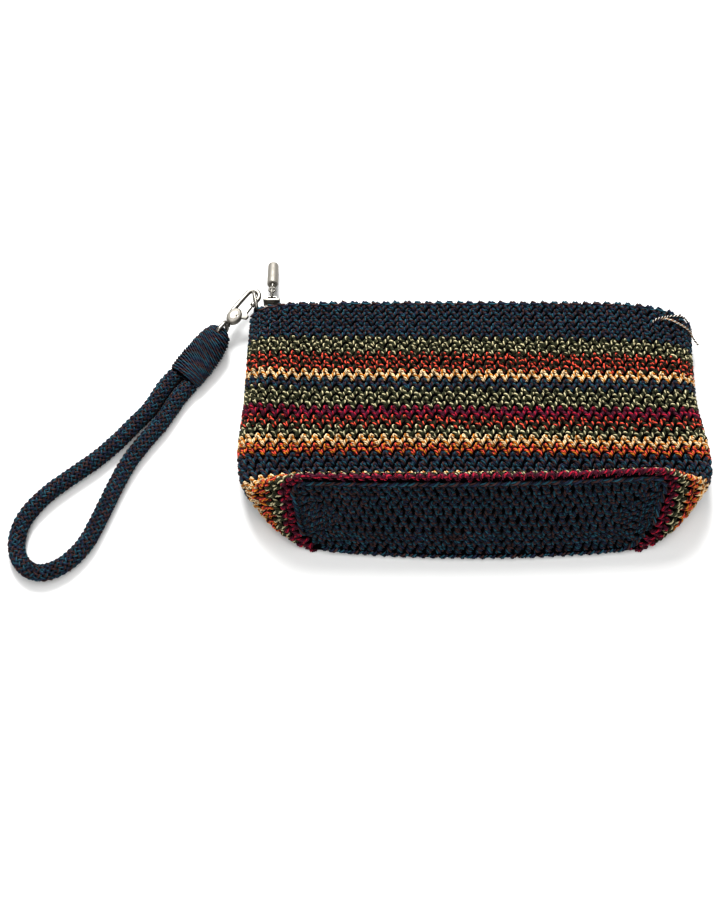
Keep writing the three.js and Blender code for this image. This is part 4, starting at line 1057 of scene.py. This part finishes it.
def whip_section(q):
    """The whipping's place along the clasp's line at share q, with its half width, half height and middle."""
    third = WHIP_BOTTOM + 0.35 * (WHIP_TOP - WHIP_BOTTOM)
    later = WHIP_BOTTOM + 0.65 * (WHIP_TOP - WHIP_BOTTOM)
    table = np.array([
        (WHIP_BOTTOM, 0.42 * WHIP_WIDTH, 0.84 * WHIP_HALF, 0.88 * WHIP_HALF),
        (WHIP_BOTTOM + 1.6, 0.49 * WHIP_WIDTH, WHIP_HALF, WHIP_HALF + 0.05),
        (third, 0.5 * WHIP_WIDTH, 1.1 * WHIP_HALF, 1.16 * WHIP_HALF),
        (later, 0.47 * WHIP_WIDTH, 1.14 * WHIP_HALF, 1.44 * WHIP_HALF),
        (WHIP_TOP - 5.3, 0.4 * WHIP_WIDTH, 1.04 * WHIP_HALF, 1.72 * WHIP_HALF),
        (WHIP_TOP - 2.65, 0.33 * WHIP_WIDTH, 0.84 * WHIP_HALF, 1.8 * WHIP_HALF),
        (WHIP_END, 0.22 * WHIP_WIDTH, 0.56 * WHIP_HALF, 1.82 * WHIP_HALF),
    ])
    a = WHIP_BOTTOM + np.clip(q, 0, 1) * (WHIP_END - WHIP_BOTTOM)
    return a, [np.interp(a, table[:, 0], table[:, k]) for k in (1, 2, 3)]


def whip_points(q, angle, lift):
    """Points round the whipping, lifted off its surface."""
    a, (half, rise, middle) = whip_section(q)
    across = (half + lift) * np.cos(angle)
    height = middle - CLASP_Z + (rise + lift) * np.sin(angle)
    return clasp_points(np.stack(np.broadcast_arrays(a, across, height), axis=-1))


def make_whipping():
    """Thread wound round both ends of the rope, each turn slanting across the top."""
    skein = Skein("night")
    angle = np.linspace(-0.5 * math.pi, 1.5 * math.pi, WHIP_SAMPLES)
    turn = np.arange(WHIP_TURNS)[:, None] + np.linspace(0, 1, WHIP_SAMPLES)[None, :]
    share = turn / WHIP_TURNS
    q = np.interp(share, [0, 0.1, 0.95, 1], [-0.012, 0.04, 0.95, 1.0])
    lift = np.interp(share, [0, 0.04, 0.1, 0.96, 1], [-2.6, -1.1, 0.0, 0.0, -0.6]) - WHIP_THREAD
    q = q - WHIP_SLANT * np.cos(angle)[None, :] * np.sin(math.pi * np.clip(q, 0, 1))
    around = np.broadcast_to(angle, q.shape)
    paths = whip_points(q, around, lift + rng.normal(0, 0.1, WHIP_TURNS)[:, None])
    outward = unit(paths - whip_points(q, around, lift - 2.0))
    size = WHIP_THREAD * rng.normal(1.0, 0.07, WHIP_TURNS)
    twist = rng.normal(WHIP_TWIST, 0.3, WHIP_TURNS)
    skein.lay(paths, outward, size, twist, rng.uniform(0, LAST_START, WHIP_TURNS))
    finished(skein.build("strap_whipping_thread"), "strap", "rope_yarn")
    # Painted shade: a near-black core under the whipping thread, seen only between its turns
    grid_q, grid_angle = np.meshgrid(np.linspace(0, 1, 24), TURN * np.arange(32) / 32, indexing="ij")
    core = grid_mesh("strap_whipping_core", whip_points(grid_q, grid_angle, -0.6), False, SHADOWED_YARN)
    finished(core, "strap", "rope_yarn", "strap_whipping")


def make_bight():
    """The strands that hold the swivel's eye at the top of the whipping."""
    skein = Skein("night")
    turn = np.linspace(-0.5 * math.pi, 0.5 * math.pi, 13)
    bar = EYE_WIRE / 2
    a = np.concatenate([[-6.0, -3.0], bar + BIGHT_RADIUS * np.cos(turn), [-3.0, -6.0]])
    s = np.concatenate([[-BIGHT_RADIUS] * 2, BIGHT_RADIUS * np.sin(turn), [BIGHT_RADIUS] * 2])
    around = np.arctan2(s, a - bar)
    out = np.stack([np.cos(around), np.sin(around), 0 * a], axis=1)
    for level in (-1.25, 1.25):
        points = np.stack([a, s, np.full(len(a), BIGHT_Z + level)], axis=1)
        outward = clasp_points(points + out) - clasp_points(points)
        size, turns, phase = (np.array([value]) for value in (1.3, 2.2, level))
        skein.lay(clasp_points(points)[None], outward[None], size, turns, phase, sides=8)
    finished(skein.build("strap_eye_strands"), "strap", "rope_yarn", "strap_bight")


# The two strands of the thread's end, in millimetres, and their turns
THREAD_STRANDS = [
    [(81.2, 43.9, 16.9), (83.4, 44.9, 17.6), (86.0, 45.5, 17.9), (88.2, 46.0, 17.7), (91.4, 46.8, 16.9),
     (94.2, 47.2, 15.6), (96.4, 47.3, 13.6), (97.9, 46.6, 11.6), (98.6, 44.9, 10.4), (99.4, 42.6, 9.9),
     (99.9, 40.2, 9.7), (101.0, 38.0, 9.4), (102.6, 36.0, 8.8)],
    [(85.6, 45.2, 17.6), (87.6, 44.6, 17.9), (90.2, 43.7, 17.8), (92.6, 42.7, 17.2), (94.9, 41.8, 16.2),
     (97.0, 41.2, 14.4), (98.6, 40.4, 12.4), (99.6, 39.2, 10.6)],
]
THREAD_TURNS = (22.0, 10.0)


def make_corner_thread():
    """The end of a finishing thread, worked through the lip at the right corner and left hanging."""
    skein = Skein("thread")
    for points, turns, plies in zip(THREAD_STRANDS, THREAD_TURNS, ((0, 2), (0, 1))):
        path = smooth_path(points, 24 * len(points))
        path[:, 2] += np.interp(np.arange(len(path)), [0, 8], [-2.4, 0])
        outward = np.broadcast_to(unit(np.array([0.35, 0.0, 0.94])), path.shape)
        size, twist, phase = (np.array([value]) for value in (THREAD_RADIUS, turns, 0.4))
        skein.lay(path[None], outward[None], size, twist, phase, plies, sides=6)
    finished(skein.build("crochet_thread_end"), BENDS, "striped_yarn")


def metal_material(name, colour, roughness):
    material, add, shader = new_material(name)
    place = add("ShaderNodeTexCoord")
    wear = add("ShaderNodeTexNoise", Vector=place.outputs["Object"], Scale=420.0, Detail=4.0)
    rough = add("ShaderNodeMapRange", Value=wear.outputs["Fac"],
                To_Min=roughness * 0.7, To_Max=roughness * 1.3)
    shader.inputs["Base Color"].default_value = (*colour, 1.0)
    shader.inputs["Metallic"].default_value = 1.0
    connect(material, rough.outputs[0], shader.inputs["Roughness"])
    return material


NICKEL = metal_material("polished_nickel", (0.22, 0.21, 0.19), 0.38)
SATIN_NICKEL = metal_material("satin_nickel", (0.30, 0.285, 0.257), 0.62)
TAPE_CLOTH = cloth_material("zip_tape_weave", (0.012, 0.016, 0.024), 1500.0)
NYLON = cloth_material("zip_nylon_black", (0.024, 0.027, 0.034), 2400.0, roughness=0.4)


def oblong_section(width, height, corner, steps=3):
    """A rounded oblong outline about its middle."""
    points = []
    for k, (sx, sy) in enumerate(((1, 1), (-1, 1), (-1, -1), (1, -1))):
        for step in range(steps + 1):
            angle = (k + step / steps) * math.pi / 2
            points.append((sx * (width / 2 - corner) + corner * math.cos(angle),
                           sy * (height / 2 - corner) + corner * math.sin(angle)))
    return np.array(points)


def block(name, low, high, corner, material, place=lambda points: points):
    """A box with rounded edges all round, between two corners."""
    low, high = np.asarray(low, float), np.asarray(high, float)
    size = high - low
    rings = []
    for step in range(-4, 5):
        angle = math.radians(90 * abs(step) / 4)
        inset = corner * (1 - math.cos(angle))
        outline_corner = max(corner * 1.2 - inset, 0.05)
        outline = oblong_section(size[0] - 2 * inset, size[1] - 2 * inset, outline_corner)
        side = math.copysign(size[2] / 2 - corner + corner * math.sin(angle), step) if step else 0.0
        level = np.full((len(outline), 1), side)
        rings.append(np.concatenate([outline, level], axis=1))
    rings = np.array(rings) + (low + high) / 2
    return grid_mesh(name, place(rings), False, material)


def lip_drop(x):
    """How far the lip's ends, and the zip with them, lie below the middle of the mouth."""
    lip = SECTIONS[-1]
    reach = np.abs(x) / (lip["width"] / 2)
    left = (lip["back"] - lip["left"]) * reach ** lip["left_bend"]
    right = (lip["back"] - lip["right"]) * reach ** lip["right_bend"]
    return np.where(x < 0, left, right)


def make_zip():
    """Each tape turns over the lip to its row of coils, and both droop with the ends of the mouth."""
    turn = np.linspace(0, math.pi / 2, 5)
    top = ZIP_Y - TAPE / 2
    x = np.linspace(-ZIP_HALF, ZIP_HALF, 61)
    for side, body, name in ((-1, "pouch", "back"), (1, "front_flap", "front")):
        edge = side * (TAPE_EDGE - TAPE / 2)
        y = np.concatenate([[LIP_Y - TAPE_DEPTH], top - TAPE_FOLD + TAPE_FOLD * np.sin(turn), [top]])
        z = ZIP_Z + np.concatenate([[edge], edge - side * TAPE_FOLD * (1 - np.cos(turn)), [side * COIL_HALF]])
        normal = np.stack([np.concatenate([[0.0], np.sin(turn), [1.0]]),
                           side * np.concatenate([[1.0], np.cos(turn), [0.0]])], axis=1)
        faces = []
        for lift in (TAPE / 2, -TAPE / 2):
            grid_y = (y + lift * normal[:, 0])[:, None] - lip_drop(x)[None, :]
            grid_z = np.broadcast_to((z + lift * normal[:, 1])[:, None], grid_y.shape)
            faces.append(np.stack([np.broadcast_to(x, grid_y.shape), grid_y, grid_z], axis=-1))
        tape = slab(f"zip_tape_{name}_cloth", *faces, TAPE_CLOTH)
        finished(tape, body, "zip_tape", f"zipper_tape_{name}")
        start = SLIDER_X + 1.4
        turns = (ZIP_HALF - COIL_TAIL - start) / COIL_PITCH
        t = np.linspace(0, turns, int(turns * COIL_STEPS))
        angle = TURN * (t + 0.5 - 0.25 * side)
        run = start + COIL_PITCH * t
        rise = COIL_Y + COIL_RISE * np.sin(angle) - lip_drop(run)
        path = np.stack([run, rise, ZIP_Z + side * (COIL_MIDDLE + COIL_REACH * np.cos(angle))], axis=1)
        axis = np.array([0.94, 0.0, 0.34])
        coil = sweep(f"zip_coil_{name}_loops", path, round_section(COIL_WIRE, 6), axis, NYLON)
        finished(coil, body, "zip_nylon", f"zipper_coil_{name}")
    base_y = ZIP_Y - float(lip_drop(np.array(ZIP_HALF - 3.6)))
    stop = block("zip_bottom_stop", (ZIP_HALF - 4.7, base_y + 0.3, ZIP_Z - 2.3),
                 (ZIP_HALF - 2.5, base_y + 1.5, ZIP_Z - 0.3), 0.25, NICKEL)
    finished(stop, "pouch", "nickel", "zipper_bottom_stop")


def swap_yz(points):
    return points[..., [0, 2, 1]]


def make_slider():
    """Two plates joined by a wedge, given as x, z and y, with an arch for the pull."""
    half = SLIDER_LENGTH / 2
    outer = block("slider_outer_plate", (SLIDER_X - half, ZIP_Z - 3, ZIP_Y + 1.8),
                  (SLIDER_X + half, ZIP_Z + 3, SLIDER_TOP), 0.4, NICKEL, swap_yz)
    inner = block("slider_inner_plate", (SLIDER_X - half, ZIP_Z - 2, ZIP_Y - 2.1),
                  (SLIDER_X + half, ZIP_Z + 2, ZIP_Y - 0.9), 0.3, NICKEL, swap_yz)
    wedge = block("slider_wedge", (SLIDER_X - 3.2, ZIP_Z - 0.3, ZIP_Y - 1.5),
                  (SLIDER_X + 1.1, ZIP_Z + 0.3, ZIP_Y + 2.4), 0.1, NICKEL, swap_yz)
    finished(outer, "slider", "nickel", "zipper_slider")
    finished(inner, "slider", "nickel")
    finished(wedge, "slider", "nickel")
    arch = [(-2.15, -0.2), (-2.15, 0.7), (-2.1, 1.4), (-1.7, 1.85), (-1.1, 1.95), (0, 1.95),
            (1.1, 1.95), (1.7, 1.85), (2.1, 1.4), (2.15, 0.7), (2.15, -0.2)]
    path = [(SLIDER_X + x, SLIDER_TOP + y, ZIP_Z) for x, y in arch]
    bridge = sweep("slider_bridge_arch", path, oblong_section(0.9, 1.6, 0.3), UP, NICKEL)
    finished(bridge, "slider", "nickel", "slider_bridge")


def spokes_round(axis, sides):
    """An axis as a unit vector, and a ring of directions square to it."""
    axis = unit(np.asarray(axis, float))
    first = unit(np.cross(axis, OBLIQUE))
    return axis, turned(TURN * np.arange(sides) / sides, first, np.cross(axis, first))


def torus(name, centre, normal, radius, wire, material, flat=1.0):
    normal, spokes = spokes_round(normal, 48)
    section = round_section(wire, WIRE_SIDES, flat)
    return sweep(name, centre + radius * spokes, section, normal, material, closed=True)


def lathe(name, profile, base, axis, material, sides=40):
    """A turned piece: its profile is (distance along the axis, radius)."""
    axis, spokes = spokes_round(axis, sides)
    rings = [base + along * axis + radius * spokes for along, radius in profile]
    return grid_mesh(name, np.array(rings), False, material)


def make_pull():
    centre = np.array([SLIDER_X, PULL_RING_Y, ZIP_Z])
    ring = torus("pull_ring_wire", centre, (1, 0, 0), PULL_RING_RADIUS, PULL_RING_WIRE, NICKEL)
    finished(ring, "pull_link", "nickel", "pull_ring")
    axis = np.array([0, math.cos(BARREL_DROOP), -math.sin(BARREL_DROOP)])
    end = BARREL_START + BARREL_LENGTH
    turn = np.linspace(0, math.pi / 2, 6)
    near, far = BARREL_EDGES
    profile = [(BARREL_START + near - near * math.sin(t), BARREL_RADIUS - near + near * math.cos(t))
               for t in turn[::-1]]
    profile += [(end - far + far * math.sin(t), BARREL_RADIUS - far + far * math.cos(t)) for t in turn]
    barrel = lathe("barrel_body", profile, centre, axis, SATIN_NICKEL)
    finished(barrel, "pull", "nickel", "barrel_pull")
    side = np.cross(axis, (1, 0, 0))
    eye = torus("barrel_eye", centre + axis * PULL_RING_RADIUS, side, 1.36, 0.5, NICKEL, flat=1.3)
    finished(eye, "pull", "nickel")
    neck = lathe("barrel_neck", [(4.4, 1.0), (5.0, 0.8), (5.7, 0.9), (6.4, 1.5)], centre, axis, NICKEL, 24)
    finished(neck, "pull", "nickel")


def rounded_ring(length, height, corner):
    """A closed rounded oblong from x = 0 to length, about z = 0."""
    points = []
    for k, (x, z) in enumerate(((length - corner, height / 2 - corner), (corner, height / 2 - corner),
                                (corner, corner - height / 2), (length - corner, corner - height / 2))):
        for step in range(9):
            angle = (k + step / 8) * math.pi / 2
            points.append((x + corner * math.cos(angle), 0.0, z + corner * math.sin(angle)))
    return np.array(points)


def make_corner_ring():
    flat = rounded_ring(RING_LENGTH, RING_HEIGHT, RING_CORNER)
    way = np.array([math.cos(RING_LEAN + math.pi), math.sin(RING_LEAN + math.pi), 0.0])
    across = np.array([-way[1], way[0], 0.0])
    path = np.array([BAR_X, BAR_Y, CLASP_Z]) + flat[:, :1] * way + flat[:, 2:] * UP
    ring = sweep("corner_ring_wire", path, round_section(RING_WIRE, WIRE_SIDES), across, NICKEL, closed=True)
    finished(ring, "ring", "nickel", "corner_ring")
    turn = np.linspace(math.pi, 0, 13)
    x = np.concatenate([[-TAB_BEND, -TAB_BEND], TAB_BEND * np.cos(turn), [TAB_BEND, TAB_BEND]])
    y = np.concatenate([[-2.0, -1.0], TAB_BEND * np.sin(turn), [-1.0, -2.0]])
    path = np.stack([BAR_X + x, BAR_Y + y, np.full(len(x), CLASP_Z)], axis=1)
    tab = sweep("ring_tab_cloth", path, oblong_section(0.56, 4.2, 0.2), UP, TAPE_CLOTH)
    finished(tab, "pouch", "zip_tape", "ring_tab")


def bevelled_plate(name, outline, thick, bevel, material):
    """A flat piece of the clasp with rounded edges."""
    points = np.array([(a, s, level) for level in (-thick / 2, thick / 2) for a, s in outline])
    count = len(outline)
    faces = [tuple(range(count)), tuple(range(count, 2 * count))[::-1]]
    faces += [(k, count + k, count + (k + 1) % count, (k + 1) % count) for k in range(count)]
    return mesh_object(name, clasp_points(points), faces, material, bevel)


def clasp_body_rings():
    """Oval rings of the clasp's body from its underside to its top, nearly flat above and below."""
    around, spokes = TURN * np.arange(48) / 48, []
    middle = np.array([BODY_A, 0.0])
    for level in np.linspace(-math.pi / 2, math.pi / 2, 15):
        spread = max(math.cos(level), 0.0) ** 0.42
        height = math.copysign(abs(math.sin(level)) ** 0.7, level) * BODY_HEIGHT
        spokes.append(np.stack([BODY_A + BODY_LENGTH * spread * np.cos(around),
                                BODY_WIDTH * spread * np.sin(around), np.full(len(around), height)], axis=1))
    for end, inner in ((0, 1), (-1, -2)):
        spokes[end][:, :2] = spokes[inner][:, :2] * 0.98 + middle * 0.02
    return np.array(spokes)


def make_clasp():
    turn = np.linspace(math.pi / 2, -math.pi / 2, 17)
    a = np.concatenate([[11.5, 14.0, 20.0], HOOK_A + HOOK_RADIUS * np.cos(turn), [23.8, TIP_A]])
    s = np.concatenate([[1.6, 2.5, 2.8], HOOK_RADIUS * np.sin(turn), [-HOOK_RADIUS, -HOOK_RADIUS]])
    path, _ = even_path(np.stack([a, s, 0 * a], axis=1), 60)
    section = oblong_section(HOOK_WIRE, HOOK_THICK, 0.8, steps=4)
    arm = sweep("clasp_arm", clasp_points(path), section, UP, NICKEL)
    finished(arm, "clasp", "nickel", "clasp_hook")
    start = clasp_points((TIP_A, -HOOK_RADIUS, 0))
    way = clasp_way(-1, 0)
    tip = lathe("clasp_tip", [(-0.1, 0.9), (0.25, 0.8), (0.45, 0.45)], start, way, NICKEL, 20)
    finished(tip, "clasp", "nickel")
    body = grid_mesh("clasp_body", clasp_points(clasp_body_rings()), False, SATIN_NICKEL)
    finished(body, "clasp", "nickel")
    gate = bevelled_plate("gate_lever", GATE_OUTLINE, 1.7, 0.3, NICKEL)
    finished(gate, "gate", "nickel", "clasp_gate")
    for name in ("gate_pin", "gate_spring"):
        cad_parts[name].data.materials.clear()
        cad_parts[name].data.materials.append(NICKEL)


def make_swivel():
    flat = rounded_ring(EYE_LENGTH - EYE_WIRE, EYE_HEIGHT - EYE_WIRE, 1.7) + np.array([EYE_WIRE / 2, 0, 0])
    across = clasp_way(0, 1)
    section = oblong_section(EYE_WIRE * 0.98, EYE_WIRE * 0.98, 0.75)
    eye = sweep("swivel_loop", clasp_points(flat), section, across, NICKEL, closed=True)
    finished(eye, "swivel", "nickel", "swivel_eye")
    stem = lathe("swivel_stem", STEM_PROFILE, clasp_points((0, 0, 0)), clasp_way(1, 0), NICKEL, 28)
    finished(stem, "swivel", "nickel")


def make_camera():
    """A camera over the front, 0.7 metres from a point on the table beside the pouch's middle."""
    data = bpy.data.cameras.new("camera")
    data.lens = 63.05
    data.sensor_width = 36.0
    camera = link(bpy.data.objects.new("camera", data))
    elevation = math.radians(67.0)
    target = Vector((-0.04994, -0.01153, 0.0))
    camera.location = target + 0.7 * Vector((0, -math.cos(elevation), math.sin(elevation)))
    camera.rotation_euler = (math.pi / 2 - elevation, 0, 0)
    bpy.context.scene.camera = camera


def make_studio():
    """A pale floor, a key light behind, a wide panel above and a weak light in front, in metres and watts."""
    mesh = bpy.data.meshes.new("floor")
    half = 3.0
    corners = [(-half, -half, 0), (half, -half, 0), (half, half, 0), (-half, half, 0)]
    mesh.from_pydata(corners, [], [(0, 1, 2, 3)])
    floor = link(bpy.data.objects.new("floor", mesh))
    material, _, shader = new_material("pale_floor")
    shader.inputs["Base Color"].default_value = (0.62, 0.62, 0.617, 1.0)
    shader.inputs["Roughness"].default_value = 0.9
    shader.inputs["Specular IOR Level"].default_value = 0.1
    mesh.materials.append(material)
    for name, place, size, power in (
            ("key_light", (-0.16, 0.90, 1.06), 0.5, 19.0),
            ("top_panel", (0.1, 0.0, 1.5), 1.5, 10.0),
            ("front_light", (-0.3, -1.2, 1.1), 0.8, 8.0)):
        data = bpy.data.lights.new(name, "AREA")
        data.size = size
        data.energy = power
        light = link(bpy.data.objects.new(name, data))
        light.location = place
        light.rotation_euler = (-Vector(place)).to_track_quat("-Z", "Y").to_euler()
    world = bpy.data.worlds.new("studio")
    world.use_nodes = True
    world.node_tree.nodes["Background"].inputs["Color"].default_value = (1, 1, 1, 1)
    world.node_tree.nodes["Background"].inputs["Strength"].default_value = 0.18
    bpy.context.scene.world = world
    bpy.context.scene.view_settings.view_transform = "Standard"
    bpy.context.scene.view_settings.look = "High Contrast"
    bpy.context.scene.view_settings.exposure = 0.4


make_camera()
make_studio()
make_rope()
make_whipping()
make_bight()
make_zip()
make_slider()
make_pull()
make_corner_ring()
make_clasp()
make_swivel()
make_wall_stitches()
make_wall_ground()
make_base_ground()
make_linings()
make_base_stitches()
make_ridge_chain()
make_lip_chain()
make_corner_thread()
